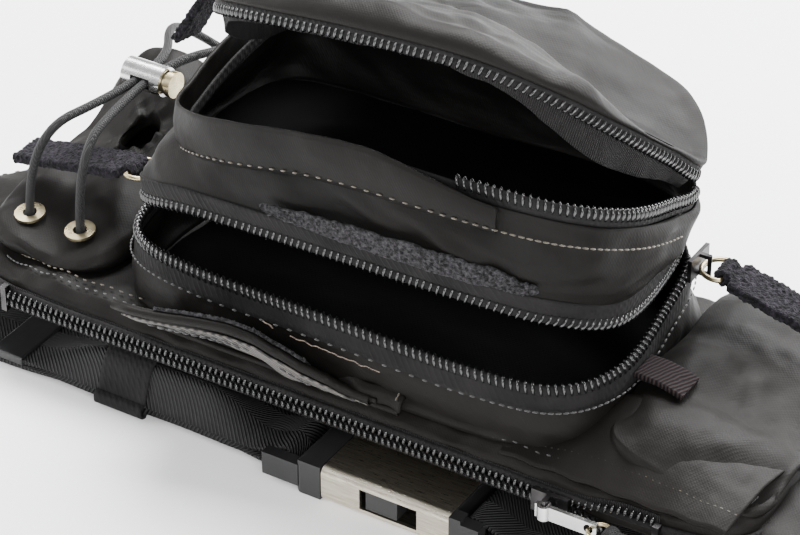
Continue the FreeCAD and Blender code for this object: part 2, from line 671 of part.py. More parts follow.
PLATE_LENGTH = 20
hook_y = bar_y
puller = Part.makeBox(PLATE_LENGTH, 1.4, 4.6, V(slider_x - 2.6, hook_y - 0.7, zip_level - 2.3))
eye = Part.makeCylinder(2.1, 4.6, V(slider_x, hook_y, zip_level - 2.3), V(0, 0, 1))
bore = Part.makeCylinder(1.1, 12, V(slider_x, hook_y, zip_level - 6), V(0, 0, 1))
end_x = slider_x - 2.6 + PLATE_LENGTH
ring_hole = Part.makeCylinder(1.5, 8, V(end_x - 2.6, hook_y - 4, zip_level), V(0, 1, 0))
keep(feature_from("rear_puller_plate", puller.fuse(eye).cut(bore).cut(ring_hole)))
ring_turn = 3.6
ring_x = end_x - 2.6 + ring_turn
pull_ring = Part.makeTorus(ring_turn, 0.6, V(ring_x, hook_y, zip_level), V(0, 0, 1))
keep(feature_from("rear_pull_ring", pull_ring))
loop_x = ring_x + ring_turn
eye = Part.makeCylinder(2.6, 3, V(loop_x, hook_y - 1.5, zip_level), V(0, 1, 0))
hole = Part.makeCylinder(1.35, 8, V(loop_x, hook_y - 4, zip_level), V(0, 1, 0))
tail = Part.makeCylinder(1.9, 26, V(loop_x + 1.5, hook_y, zip_level), V(1, 0, 0))
keep(feature_from("rear_cord_pull", eye.fuse(tail).cut(hole)))
for name, x in (("rear_stop_left", zip_left - 2.2), ("rear_stop_right", zip_right + 0.2)):
    keep(cuboid(name, ("2", "2.4", "9"), (str(x), "-dims.base_depth / 2 - 2.4", "dims.rear_zip_level - 4.5")))

# ---------------------------------------------------------------- belt
web_half = mm("dims.web_width / 2")
web_y = mm("dims.web_centre_y")
web_thick = mm("dims.web_thick")
LAYER_LOW = 1.9     # middle of the webbing's lower layer
LAYER_HIGH = 4.1
BAR_LEVEL = 6.2
WING_LEVEL = 22
tip_x = mm("dims.base_length / 2 + dims.wing_reach")
bar_radius = mm("dims.bar_size / 2")
wrap_radius = bar_radius + 0.35 + web_thick / 2


def web_from(name, points_and_arcs):
    """Webbing from its line in the XZ plane: each entry is a point, or a pair for the middle and end of an arc."""
    edges = []
    here = points_and_arcs[0]
    for entry in points_and_arcs[1:]:
        if len(entry) == 2 and isinstance(entry[0], tuple):
            middle, there = entry
            edges.append(Part.Arc(V(here[0], 0, here[1]), V(middle[0], 0, middle[1]),
                                  V(there[0], 0, there[1])).toShape())
        else:
            there = entry
            edges.append(Part.makeLine(V(here[0], 0, here[1]), V(there[0], 0, there[1])))
        here = there
    line = Part.Wire(edges)
    face = line.makeOffset2D(web_thick / 2, join=0, fill=True, openResult=True, intersection=False)
    band = face.extrude(V(0, 2 * web_half, 0))
    low = band.BoundBox.YMin
    band.translate(V(0, web_y - web_half - low, 0))
    return keep(feature_from(name, band))


def u_bend(side):
    """From the wing's tip out, down and back under it."""
    turn = (WING_LEVEL - LAYER_LOW) / 2
    out = side * (tip_x + 4)
    return [(side * tip_x, WING_LEVEL), (out, WING_LEVEL),
            ((out + side * turn, WING_LEVEL - turn), (out, LAYER_LOW))]


male_bar = mm("dims.buckle_left") + 5
female_bar = mm("dims.buckle_right") - 4
tail_end = -112
for name, side, bar_x, approach, fold_end in (("left_webbing", 1, male_bar, -52, tail_end),
                                              ("right_webbing", -1, female_bar, 84, 122)):
    line = u_bend(-side)
    line.append((approach, LAYER_LOW))
    line.append((bar_x, BAR_LEVEL - wrap_radius))
    line.append(((bar_x + side * wrap_radius, BAR_LEVEL), (bar_x, BAR_LEVEL + wrap_radius)))
    line.append((approach + side * 12, LAYER_HIGH + 0.6))
    line.append((approach, LAYER_HIGH))
    line.append((fold_end, LAYER_HIGH))
    web_from(name, line)
end_cap = Part.makeBox(12, 2 * web_half + 1.6, 3.0, V(tail_end - 12, web_y - web_half - 0.8, LAYER_HIGH - 1.2))
keep(feature_from("belt_tip", end_cap.makeFillet(0.6, end_cap.Edges)))

keeper_x = -73
outer = Part.makeBox(18, 2 * web_half + 2.4, 6.0, V(keeper_x - 9, web_y - web_half - 1.2, 0.05))
inner = Part.makeBox(20, 2 * web_half + 0.8, 4.8, V(keeper_x - 10, web_y - web_half - 0.4, 0.65))
keep(feature_from("belt_keeper", outer.cut(inner)))

# ---------------------------------------------------------------- buckle
b_left, b_split, b_right = (mm("dims.buckle_left"), mm("dims.buckle_split"), mm("dims.buckle_right"))
b_half = mm("dims.buckle_depth / 2")
b_high = mm("dims.buckle_height")
skin = mm("dims.buckle_shell")


def block(x_low, x_high, half, z_low, z_high, y=web_y):
    return Part.makeBox(x_high - x_low, 2 * half, z_high - z_low, V(x_low, y - half, z_low))


end_block = block(b_left + 13, b_split, b_half, 0.2, b_high - 0.2)
end_block = end_block.makeFillet(2, [e for e in end_block.Edges if e.BoundBox.XMax < b_left + 13.1])
rails = [block(b_left + 1, b_left + 14, 2, 2.2, 10.2, web_y + s * (b_half - 2)) for s in (-1, 1)]
bar = Part.makeCylinder(bar_radius, 2 * b_half - 2, V(male_bar, web_y - b_half + 1, BAR_LEVEL), V(0, 1, 0))
guide = block(b_split - 1, b_split + 32, 4.5, 4.6, 7.8)
male = end_block.fuse(rails[0]).fuse(rails[1]).fuse(bar).fuse(guide)
arm_root = 16.5     # from the middle of the buckle to each prong
for s in (-1, 1):
    male = male.cut(Part.makeCylinder(1.9, 8, V(b_split, web_y + s * arm_root, 2.2), V(0, 0, 1)))
keep(feature_from("buckle_male", male))
for name, s in (("prong_near", -1), ("prong_far", 1)):
    y = web_y + s * arm_root
    root = Part.makeCylinder(1.6, 7.2, V(b_split, y, 2.6), V(0, 0, 1))
    arm = Part.makeBox(27, 3, 6.4, V(b_split, y - 1.5, 3.0))
    hook_low, hook_high = (y - 1.5, web_y + s * (b_half - 0.4)) if s > 0 else (web_y + s * (b_half - 0.4), y + 1.5)
    hook = Part.makeBox(11, hook_high - hook_low, 6.4, V(b_split + 16, hook_low, 3.0))
    keep(feature_from(name, root.fuse(arm).fuse(hook)))

core_left = 44
shell = block(b_split + 0.4, 50, b_half, 0, b_high)
shell = shell.makeFillet(2.5, [e for e in shell.Edges if e.Length > 40 and abs(e.BoundBox.XLength) > 40])
hollow = block(b_split - 1, 52, b_half - skin, skin, b_high - skin)
notch = block(b_split + 14, b_split + 34, b_half + 2, 2.6, b_high - 2.6)
keep(feature_from("buckle_shell", shell.cut(hollow).cut(notch)))
core = block(core_left, 50, b_half - skin - 0.05, skin + 0.0, b_high - skin)
core = core.fuse(block(50, b_right - 6, b_half, 0.2, b_high - 0.2))
channel = block(core_left - 1, b_right, b_half - 5, -1, b_high + 1)
sides = [block(50, b_right, 2.2, 1.6, 10.8, web_y + s * (b_half - 2.2)) for s in (-1, 1)]
bar = Part.makeCylinder(bar_radius, 2 * b_half - 3, V(female_bar, web_y - b_half + 1.5, BAR_LEVEL), V(0, 1, 0))
window = block(b_right - 9.5, b_right + 1, b_half - 4.6, -1, b_high + 1)
core = core.cut(window).fuse(sides[0]).fuse(sides[1]).fuse(bar)
keep(feature_from("buckle_core", core))

# ---------------------------------------------------------------- drawcord, eyelets and cord lock
for name, x in EYELETS:
    flange = Part.makeCylinder(5, 0.9, V(0, 0, 0), V(0, 0, 1))
    barrel = Part.makeCylinder(2.9, 1.4, V(0, 0, -0.5), V(0, 0, 1))
    bore = Part.makeCylinder(2.3, 6, V(0, 0, -3), V(0, 0, 1))
    item = feature_from(name, flange.fuse(barrel).cut(bore))
    item.Placement = FreeCAD.Placement(V(x, EYELET_Y, hood_level(EYELET_Y) + 0.02), hood_turn)
    keep(item)

LOCK_LEVEL = 73
STRAND = 1.7        # half the distance between the two strands in the lock
lock_x = -112
CORD = [
    (-105, EYELET_Y, 39.5),
    (-105, EYELET_Y, 71),
    (lock_x + STRAND, 3, LOCK_LEVEL),
    (lock_x + STRAND, 30, LOCK_LEVEL),
    (-98, 47, 73.5),
    (-97, 62, 64),
    (-112, 70, 52),
    (-127, 62, 64),
    (-126, 47, 73.5),
    (lock_x - STRAND, 30, LOCK_LEVEL),
    (lock_x - STRAND, 3, LOCK_LEVEL),
    (-125, EYELET_Y, 71),
    (-125, EYELET_Y, 39.5),
]
points = [V(*p) for p in CORD]
edges = []
here = points[0]
for k in range(1, len(points) - 1):
    before, corner, after = points[k - 1], points[k], points[k + 1]
    inward, onward = corner - before, after - corner
    turn = inward.getAngle(onward)
    if turn < 1e-4:
        continue
    radius = 0.45 * min(inward.Length, onward.Length) / math.tan(turn / 2)
    back = radius * math.tan(turn / 2)
    unit_in, unit_on = inward / inward.Length, onward / onward.Length
    first, last = corner - unit_in * back, corner + unit_on * back
    bulge = (unit_on - unit_in)
    bulge.normalize()
    centre = corner + bulge * (radius / math.cos(turn / 2))
    edges.append(Part.makeLine(here, first))
    edges.append(Part.Arc(first, centre - bulge * radius, last).toShape())
    here = last
    print("cord bend", k, "turn", round(math.degrees(turn)), "radius", round(radius, 1))
edges.append(Part.makeLine(here, points[-1]))
path = Part.Wire(edges)
cord_radius = mm("dims.cord_size / 2")
section = Part.Wire([Part.makeCircle(cord_radius, points[0], points[1] - points[0])])
cord = path.makePipeShell([section], True, True, 1)
wanted = path.Length * math.pi * cord_radius ** 2
print("cord length", round(path.Length, 1), "volume ratio", round(cord.Volume / wanted, 4))
keep(feature_from("drawcord", cord))

lock_y = 16
barrel_radius = 5
barrel = Part.makeCylinder(barrel_radius, 15, V(lock_x - 7.5, lock_y, LOCK_LEVEL), V(1, 0, 0))
bore = Part.makeCylinder(3.9, 13.3, V(lock_x - 5.8, lock_y, LOCK_LEVEL), V(1, 0, 0))
slot = Part.makeBox(7.4, 20, 3.7, V(lock_x - 3.7, lock_y - 10, LOCK_LEVEL - 1.85))
keep(feature_from("lock_barrel", barrel.cut(bore).cut(slot)))
plunger = Part.makeCylinder(3.5, 12.4, V(lock_x - 1.6, lock_y, LOCK_LEVEL), V(1, 0, 0))
head = Part.makeCylinder(4.4, 2.2, V(lock_x + 9.0, lock_y, LOCK_LEVEL), V(1, 0, 0))
way = Part.makeBox(7.0 + 1.9, 20, 3.9, V(lock_x - 3.9 + 0.2, lock_y - 10, LOCK_LEVEL - 1.95))
keep(feature_from("lock_plunger", plunger.fuse(head).cut(way)))

spring = Part.makeTorus(2.9, 0.35, V(lock_x - 5.2, lock_y, LOCK_LEVEL), V(1, 0, 0), -180, 180, 330)
keep(feature_from("lock_spring", spring))

# ---------------------------------------------------------------- check and export
doc.recompute()
for item in made:
    shape = item.Shape
    if {"Invalid", "Error"} & set(item.State) or shape.isNull() or not shape.isValid():
        raise RuntimeError("unsound sub-part: " + item.Label)
    if shape.Volume < 1:
        raise RuntimeError("empty sub-part: " + item.Label)
    shape.exportStep(os.path.join(PARTS, item.Label + ".step"))
print(len(made), "sub-parts written")
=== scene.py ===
"""Black nylon waist bag lying open on its back."""
import bpy
import bmesh
import math
from mathutils import Matrix, Vector, noise


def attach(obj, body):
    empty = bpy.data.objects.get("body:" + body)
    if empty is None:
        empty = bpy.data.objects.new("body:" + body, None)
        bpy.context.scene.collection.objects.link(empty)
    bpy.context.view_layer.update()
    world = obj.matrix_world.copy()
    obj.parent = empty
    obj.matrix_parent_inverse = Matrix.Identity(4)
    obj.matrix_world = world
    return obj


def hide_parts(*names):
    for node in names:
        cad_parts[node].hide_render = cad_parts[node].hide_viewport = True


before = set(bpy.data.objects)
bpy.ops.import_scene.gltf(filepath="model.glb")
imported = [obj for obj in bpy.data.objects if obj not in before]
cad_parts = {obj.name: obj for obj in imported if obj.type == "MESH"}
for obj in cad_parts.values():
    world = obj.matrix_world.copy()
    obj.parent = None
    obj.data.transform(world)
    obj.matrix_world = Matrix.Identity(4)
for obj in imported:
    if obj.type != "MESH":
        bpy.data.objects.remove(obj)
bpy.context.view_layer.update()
MM = 0.001
PITCH = 2.1         # from one wire of a zip's coil to the next, mm
POINTS = 14         # points in each line round a compartment or a pocket: u = k / POINTS is at point k
BASE_POINTS = 18    # points in the line round the base
TOP = 33            # the base's top, mm


# ------------------------------------------------------------------ small sums
def mix(first, second, t):
    return first + (second - first) * t


def smooth_step(low, high, value):
    t = max(0.0, min(1.0, (value - low) / (high - low)))
    return t * t * (3 - 2 * t)


def squared(value, power):
    """A sine or cosine pushed out, so that a circle becomes a rounded box."""
    return math.copysign(abs(value) ** power, value)


# ------------------------------------------------------------------ stage, light and camera
def make_stage():
    bm = bmesh.new()
    bmesh.ops.create_grid(bm, x_segments=2, y_segments=2, size=3.0)
    mesh = bpy.data.meshes.new("floor")
    bm.to_mesh(mesh)
    bm.free()
    floor = bpy.data.objects.new("floor", mesh)
    bpy.context.collection.objects.link(floor)
    paper = bpy.data.materials.new("white_sweep")
    paper.use_nodes = True
    shader = paper.node_tree.nodes["Principled BSDF"]
    shader.inputs["Base Color"].default_value = (0.97, 0.97, 0.97, 1)
    shader.inputs["Roughness"].default_value = 0.6
    mesh.materials.append(paper)


def make_light(name, place, target, size, power):
    data = bpy.data.lights.new(name, "AREA")
    data.shape = "RECTANGLE"
    data.size, data.size_y = size
    data.energy = power
    lamp = bpy.data.objects.new(name, data)
    bpy.context.collection.objects.link(lamp)
    lamp.location = place
    lamp.rotation_euler = (Vector(target) - Vector(place)).to_track_quat("-Z", "Y").to_euler()


def make_lights():
    middle = (0, 0, 0.05)
    make_light("overhead_softbox", (-0.2, 0.55, 1.1), middle, (1.0, 0.7), 62)
    make_light("back_strip", (0.3, 1.0, 0.55), middle, (1.2, 0.3), 26)
    make_light("left_fill", (-1.0, -0.4, 0.5), middle, (0.8, 0.7), 10)
    make_light("near_fill", (0.7, -1.0, 0.7), middle, (1.0, 0.7), 20)
    world = bpy.data.worlds.new("studio")
    world.use_nodes = True
    world.node_tree.nodes["Background"].inputs["Color"].default_value = (1, 1, 1, 1)
    world.node_tree.nodes["Background"].inputs["Strength"].default_value = 0.66
    bpy.context.scene.world = world


def make_camera():
    azimuth, elevation = math.radians(31.6), math.radians(33.6)
    target = Vector((3.9, -16.2, 57)) * MM
    away = 0.9
    sight = Vector((math.sin(azimuth) * math.cos(elevation), -math.cos(azimuth) * math.cos(elevation),
                    math.sin(elevation)))
    data = bpy.data.cameras.new("camera")
    data.sensor_width = 36
    data.lens = 36 * away / 0.2424
    data.clip_start = 0.01
    camera = bpy.data.objects.new("camera", data)
    camera.location = target + sight * away
    camera.rotation_euler = (-sight).to_track_quat("-Z", "Y").to_euler()
    bpy.context.collection.objects.link(camera)
    bpy.context.scene.camera = camera


# ------------------------------------------------------------------ materials
class Finish:
    """A material being wired up: short ways to add nodes."""

    def __init__(self, name, colour, roughness, **sockets):
        self.material = bpy.data.materials.new(name)
        self.material.use_nodes = True
        self.nodes = self.material.node_tree.nodes
        self.links = self.material.node_tree.links
        self.shader = self.nodes["Principled BSDF"]
        self.shader.inputs["Base Color"].default_value = (*colour, 1)
        self.shader.inputs["Roughness"].default_value = roughness
        for socket, value in sockets.items():
            self.shader.inputs[socket.replace("_", " ")].default_value = value
        self.coords = self.nodes.new("ShaderNodeTexCoord")
        self.height = None

    def node(self, kind, **values):
        made = self.nodes.new(kind)
        for key, value in values.items():
            made.inputs[key.replace("_", " ")].default_value = value
        return made

    def mapped(self, source="Object", scale=(1, 1, 1), turn=(0, 0, 0)):
        mapping = self.nodes.new("ShaderNodeMapping")
        mapping.inputs["Scale"].default_value = scale
        mapping.inputs["Rotation"].default_value = turn
        self.links.new(self.coords.outputs[source], mapping.inputs["Vector"])
        return mapping.outputs["Vector"]

    def noise(self, scale, detail=3.0, source="Object", stretch=(1, 1, 1)):
        texture = self.node("ShaderNodeTexNoise", Scale=scale, Detail=detail)
        self.links.new(self.mapped(source, stretch), texture.inputs["Vector"])
        return texture.outputs["Fac"]

    def wave(self, scale, source="Object", turn=(0, 0, 0), distortion=0.0, direction="X"):
        texture = self.node("ShaderNodeTexWave", Scale=scale, Distortion=distortion)
        texture.bands_direction = direction
        self.links.new(self.mapped(source, (1, 1, 1), turn), texture.inputs["Vector"])
        return texture.outputs["Fac"]

    def maths(self, operation, first, second):
        made = self.nodes.new("ShaderNodeMath")
        made.operation = operation
        for socket, value in zip(made.inputs, (first, second)):
            if isinstance(value, (int, float)):
                socket.default_value = value
            else:
                self.links.new(value, socket)
        return made.outputs[0]

    def between(self, fac, low, high):
        """A value from 0 to 1 spread over low to high."""
        made = self.nodes.new("ShaderNodeMapRange")
        made.inputs["To Min"].default_value = low
        made.inputs["To Max"].default_value = high
        self.links.new(fac, made.inputs["Value"])
        return made.outputs["Result"]

    def colours(self, fac, *stops):
        ramp = self.nodes.new("ShaderNodeValToRGB")
        points = ramp.color_ramp.elements
        while len(points) < len(stops):
            points.new(0.5)
        for point, (place, colour) in zip(points, stops):
            point.position = place
            point.color = (*colour, 1)
        self.links.new(fac, ramp.inputs["Fac"])
        self.links.new(ramp.outputs["Color"], self.shader.inputs["Base Color"])

    def rough(self, fac, low, high):
        self.links.new(self.between(fac, low, high), self.shader.inputs["Roughness"])

    def bump(self, fac, depth, strength=1.0):
        made = self.node("ShaderNodeBump", Strength=strength, Distance=depth)
        self.links.new(fac, made.inputs["Height"])
        if self.height is not None:
            self.links.new(self.height, made.inputs["Normal"])
        self.height = made.outputs["Normal"]
        self.links.new(self.height, self.shader.inputs["Normal"])


def woven(finish, thread, depth):
    """Plain weave: two sets of threads crossing, on two diagonals so that every wall shows both."""
    first = finish.wave(1 / thread / 6.3, turn=(0.62, 0.0, 0.79))
    second = finish.wave(1 / thread / 6.3, turn=(-0.62, 0.0, -0.79))
    finish.bump(finish.maths("MULTIPLY", first, second), depth, 0.6)


def nylon_cloth():
    finish = Finish("black_nylon", (0.006, 0.0056, 0.0052), 0.56, Specular_IOR_Level=0.13)
    finish.colours(finish.noise(14, 5), (0.3, (0.0030, 0.0027, 0.0025)), (0.7, (0.0082, 0.0070, 0.0062)))
    finish.rough(finish.noise(45, 4), 0.47, 0.66)
    finish.bump(finish.noise(60, 5, stretch=(1, 1, 1.6)), 0.0012, 0.5)
    finish.bump(finish.noise(420, 2), 0.00012, 0.6)
    woven(finish, 0.00036, 0.00005)
    return finish.material


def lining_with_painted_shade():
    # Black lining whose colour is set darker than the nylon's. This is partly the cloth's own black and partly painted
    # shade for the deep insides of the compartments, lid and pocket.
    finish = Finish("lining", (0.002, 0.002, 0.0021), 0.85, Specular_IOR_Level=0.05)
    finish.colours(finish.noise(20, 4), (0.3, (0.0014, 0.0014, 0.0015)), (0.7, (0.0032, 0.0031, 0.0033)))
    finish.bump(finish.noise(50, 4), 0.001, 0.4)
    woven(finish, 0.0005, 0.0001)
    return finish.material


def tape_cloth():
    finish = Finish("zip_tape", (0.008, 0.0075, 0.008), 0.78, Specular_IOR_Level=0.18, Sheen_Weight=0.01,
                    Sheen_Roughness=0.5)
    finish.colours(finish.noise(90, 5), (0.3, (0.0035, 0.0033, 0.0034)), (0.7, (0.012, 0.011, 0.0112)))
    finish.bump(finish.noise(700, 3), 0.0003, 0.7)
    woven(finish, 0.0008, 0.0003)
    return finish.material


def ribbed_tape():
    finish = Finish("ribbed_zip_tape", (0.01, 0.0095, 0.01), 0.75, Specular_IOR_Level=0.2, Sheen_Weight=0.01,
                    Sheen_Roughness=0.5)
    split = finish.nodes.new("ShaderNodeSeparateXYZ")
    finish.links.new(finish.coords.outputs["UV"], split.inputs["Vector"])
    ribs = finish.maths("SINE", finish.maths("MULTIPLY", split.outputs["X"], 2100), 0)
    finish.colours(finish.between(ribs, 0.5, 1.0), (0.35, (0.003, 0.0028, 0.003)), (0.95, (0.024, 0.0215, 0.022)))
    finish.bump(ribs, 0.0006, 1.0)
    finish.bump(finish.noise(1200, 4), 0.0002, 0.6)
    return finish.material


def coil_plastic():
    finish = Finish("zip_coil_nylon", (0.006, 0.006, 0.0065), 0.16, Specular_IOR_Level=0.6, Coat_Weight=0.35,
                    Coat_Roughness=0.08)
    finish.rough(finish.noise(300, 3), 0.12, 0.26)
    finish.bump(finish.noise(1500, 2), 0.00006, 0.5)
    return finish.material


def hook_fuzz():
    finish = Finish("hook_and_loop", (0.008, 0.0078, 0.0085), 0.92, Specular_IOR_Level=0.15, Sheen_Weight=0.04,
                    Sheen_Roughness=0.6)
    finish.colours(finish.noise(900, 6), (0.40, (0.004, 0.004, 0.0045)), (0.75, (0.055, 0.052, 0.058)))
    finish.bump(finish.noise(1100, 6), 0.0011, 1.0)
    return finish.material


def fuzzy_pull():
    finish = Finish("pull_tab_cloth", (0.008, 0.007, 0.010), 0.92, Specular_IOR_Level=0.15, Sheen_Weight=0.04,
                    Sheen_Roughness=0.5)
    finish.colours(finish.noise(700, 6), (0.42, (0.0020, 0.0018, 0.0028)), (0.80, (0.030, 0.025, 0.036)))
    finish.bump(finish.noise(1500, 6), 0.0012, 1.0)
    return finish.material


def tab_weave():
    finish = Finish("brown_woven_tab", (0.01, 0.008, 0.009), 0.85, Specular_IOR_Level=0.15)
    ribs = finish.wave(260, turn=(0, 0, 0.35), distortion=2.5)
    finish.colours(ribs, (0.2, (0.003, 0.0024, 0.003)), (0.85, (0.026, 0.017, 0.018)))
    finish.bump(ribs, 0.0004, 0.8)
    finish.bump(finish.noise(900, 4), 0.0003, 0.6)
    return finish.material


def herringbone_webbing():
    finish = Finish("herringbone_webbing", (0.014, 0.014, 0.015), 0.62, Specular_IOR_Level=0.2)
    split = finish.nodes.new("ShaderNodeSeparateXYZ")
    finish.links.new(finish.coords.outputs["UV"], split.inputs["Vector"])
    along, across = split.outputs["X"], split.outputs["Y"]
    stripe = finish.maths("FRACT", finish.maths("MULTIPLY", across, 2.0), 0)
    slant = finish.maths("ABSOLUTE", finish.maths("SUBTRACT", stripe, 0.5), 0)
    phase = finish.maths("ADD", finish.maths("MULTIPLY", along, 1400), finish.maths("MULTIPLY", slant, 82))
    ribs = finish.maths("SINE", phase, 0)
    level = finish.between(ribs, 0.5, 1.0)
    finish.colours(level, (0.30, (0.004, 0.004, 0.0045)), (0.95, (0.036, 0.035, 0.036)))
    finish.bump(ribs, 0.0006, 1.0)
    finish.bump(finish.noise(900, 3), 0.0001, 0.5)
    return finish.material


def grey_twill_with_painted_light():
    # Twill binding on the flap. Its pale grey colour, far lighter than the nylon's, is partly painted light for the
    # light its face catches.
    finish = Finish("grey_twill_with_painted_light", (0.05, 0.048, 0.048), 0.66, Sheen_Weight=0.05)
    ribs = finish.wave(200, turn=(0.3, 0.5, 0.75))
    # The ribs' colour ramp: its pale grey stops are partly painted light.
    finish.colours(ribs, (0.2, (0.030, 0.028, 0.027)), (0.85, (0.125, 0.115, 0.105)))
    finish.bump(ribs, 0.0003, 0.8)
    finish.bump(finish.noise(60, 4), 0.0006, 0.5)
    return finish.material


def thread(name, dark, light):
    finish = Finish(name, light, 0.6, Sheen_Weight=0.3)
    finish.colours(finish.noise(1200, 3), (0.3, dark), (0.7, light))
    finish.bump(finish.noise(2500, 2), 0.0001, 0.7)
    return finish.material


def moulded_plastic():
    finish = Finish("buckle_plastic", (0.011, 0.011, 0.012), 0.34, Specular_IOR_Level=0.55)
    finish.colours(finish.noise(40, 4), (0.3, (0.008, 0.008, 0.009)), (0.7, (0.017, 0.0165, 0.017)))
    finish.rough(finish.noise(120, 5), 0.26, 0.5)
    finish.bump(finish.noise(2200, 3), 0.00004, 0.7)
    finish.bump(finish.noise(160, 3, stretch=(6, 1, 1)), 0.00012, 0.3)
    return finish.material


def metal(name, dark, light, roughness, grain=(1, 1, 1), scratches=0.5):
    finish = Finish(name, light, roughness, Metallic=1.0)
    finish.colours(finish.noise(120, 5, stretch=grain), (0.3, dark), (0.7, light))
    finish.rough(finish.noise(260, 6, stretch=grain), roughness * 0.6, roughness * 1.7)
    finish.bump(finish.noise(900, 4, stretch=grain), 0.00005, scratches)
    return finish.material


def braided_cord():
    finish = Finish("braided_cord", (0.008, 0.008, 0.0085), 0.6, Sheen_Weight=0.04, Specular_IOR_Level=0.3)
    one = finish.wave(620, turn=(0.6, 0.2, 0.8))
    two = finish.wave(620, turn=(-0.6, 0.2, -0.8))
    braid = finish.maths("MULTIPLY", one, two)
    finish.colours(braid, (0.1, (0.005, 0.005, 0.0055)), (0.9, (0.018, 0.0175, 0.018)))
    finish.bump(braid, 0.00035, 1.0)
    return finish.material


def pad_mesh():
    finish = Finish("spacer_mesh", (0.02, 0.02, 0.021), 0.85, Sheen_Weight=0.2)
    cells = finish.node("ShaderNodeTexVoronoi", Scale=420)
    finish.links.new(finish.mapped(), cells.inputs["Vector"])
    finish.colours(cells.outputs["Distance"], (0.1, (0.004, 0.004, 0.004)), (0.6, (0.036, 0.035, 0.037)))
    finish.bump(cells.outputs["Distance"], 0.0007, 0.8)
    return finish.material


FINISH = {
    "nylon": nylon_cloth(),
    "lining": lining_with_painted_shade(),
    "tape": tape_cloth(),
    "ribbed_tape": ribbed_tape(),
    "coil": coil_plastic(),
    "fuzz": hook_fuzz(),
    "pull": fuzzy_pull(),
    "tab": tab_weave(),
    "webbing": herringbone_webbing(),
    "twill": grey_twill_with_painted_light(),
    "olive_thread": thread("olive_thread", (0.030, 0.024, 0.015), (0.105, 0.085, 0.052)),
    "black_thread": thread("black_thread", (0.008, 0.008, 0.009), (0.035, 0.033, 0.033)),
    "scratch": thread("chalk_scratch", (0.08, 0.055, 0.04), (0.30, 0.23, 0.17)),
    "plastic": moulded_plastic(),
    "brass": metal("aged_brass", (0.30, 0.24, 0.13), (0.62, 0.54, 0.36), 0.26),
    "steel": metal("bright_steel", (0.55, 0.55, 0.55), (0.80, 0.80, 0.79), 0.2),
    "dark_metal": metal("dark_slider_metal", (0.02, 0.02, 0.022), (0.09, 0.085, 0.085), 0.3),
    "champagne": metal("champagne_brushed", (0.50, 0.45, 0.36), (0.74, 0.69, 0.58), 0.27, (1, 14, 14), 0.8),
    "cord": braided_cord(),
    "mesh": pad_mesh(),
}


# ------------------------------------------------------------------ making pieces
def finish_piece(name, bm, finish, body, nodes=()):
    """Turns a bmesh in metres into a piece that rides on a body and stands for CAD nodes."""
    mesh = bpy.data.meshes.new(name)
    bm.to_mesh(mesh)
    bm.free()
    for face in mesh.polygons:
        face.use_smooth = True
    item = bpy.data.objects.new(name, mesh)
    bpy.context.collection.objects.link(item)
    mesh.materials.append(FINISH[finish])
    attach(item, body)
    if nodes:
        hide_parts(*nodes)
    return item


def solidify(item, thickness, offset=-1.0):
    thick = item.modifiers.new("thickness", "SOLIDIFY")
    thick.thickness = thickness * MM
    thick.offset = offset
    return item


def grid_sheet(columns, rows, place, around=False):
    """A sheet of cloth: a grid whose corners (0, 0) to (1, 1) are carried to places in mm."""
    bm = bmesh.new()
    bm.loops.layers.uv.new("weave")
    bmesh.ops.create_grid(bm, x_segments=columns, y_segments=rows, size=0.5, calc_uvs=True)
    for vert in bm.verts:
        vert.co = place(vert.co.x + 0.5, vert.co.y + 0.5) * MM
    if around:
        bmesh.ops.remove_doubles(bm, verts=bm.verts, dist=1e-6)
    return bm


def sewn(name, columns, rows, place, finish, body, nodes=(), thick=None, offset=-1.0, around=False,
         merge=None, turn=False):
    """A piece made of one sheet: closed round if asked, poles merged, faces turned out, and given its thickness."""
    bm = grid_sheet(columns, rows, place, around)
    if merge:
        bmesh.ops.remove_doubles(bm, verts=bm.verts, dist=merge)
    if turn:
        bmesh.ops.recalc_face_normals(bm, faces=bm.faces)
    item = finish_piece(name, bm, finish, body, nodes)
    if thick:
        solidify(item, thick, offset)
    return item


def bead(bm, place, wire=False):
    """One small rounded body: a zip's wire, or a stitch."""
    matrix = Matrix.Scale(MM, 4) @ place
    if wire:
        bmesh.ops.create_uvsphere(bm, u_segments=8, v_segments=6, radius=0.5, matrix=matrix)
    else:
        bmesh.ops.create_icosphere(bm, subdivisions=1, radius=0.5, matrix=matrix)


def crumple(point, size, depth, seed=0.0):
    """A soft random push, the same every run: size is the width of a crease, depth its height."""
    spot = point / size + Vector((seed, seed * 0.7, -seed))
    return depth * (noise.noise(spot) + 0.5 * noise.noise(spot * 2.1) + 0.25 * noise.noise(spot * 4.3))


class Loop:
    """A closed smooth line through points in mm; u runs from 0 to 1 round it."""

    def __init__(self, points):
        self.points = [Vector(p) for p in points]

    def at(self, u):
        count = len(self.points)
        place = (u % 1.0) * count
        k = int(place) % count
        t = place - int(place)
        a, b, c, d = (self.points[(k + step) % count] for step in (-1, 0, 1, 2))
        return 0.5 * ((2 * b) + (c - a) * t + (2 * a - 5 * b + 4 * c - d) * t * t
                      + (3 * b - a - 3 * c + d) * t * t * t)

    def tangent(self, u):
        return (self.at(u + 0.001) - self.at(u - 0.001)).normalized()

    def outward(self, u):
        """Level, pointing away from the loop's inside."""
        return self.tangent(u).cross(Vector((0, 0, 1))).normalized()

    def moved(self, out=0.0, up=0.0):
        count = len(self.points)
        return Loop([self.points[k] + self.outward(k / count) * out + Vector((0, 0, up)) for k in range(count)])

    def middle(self):
        return sum(self.points, Vector()) / len(self.points)


def level_loop(height, spots):
    return Loop([(x, y, height) for x, y in spots])


def even_steps(loop, start, end, step):
    """Values of u at equal distances along a loop."""
    fine = 1200
    found, gone, last = [start], 0.0, loop.at(start)
    for k in range(1, fine + 1):
        u = start + (end - start) * k / fine
        here = loop.at(u)
        gone += (here - last).length
        last = here
        if gone >= step:
            found.append(u)
            gone = 0.0
    return found


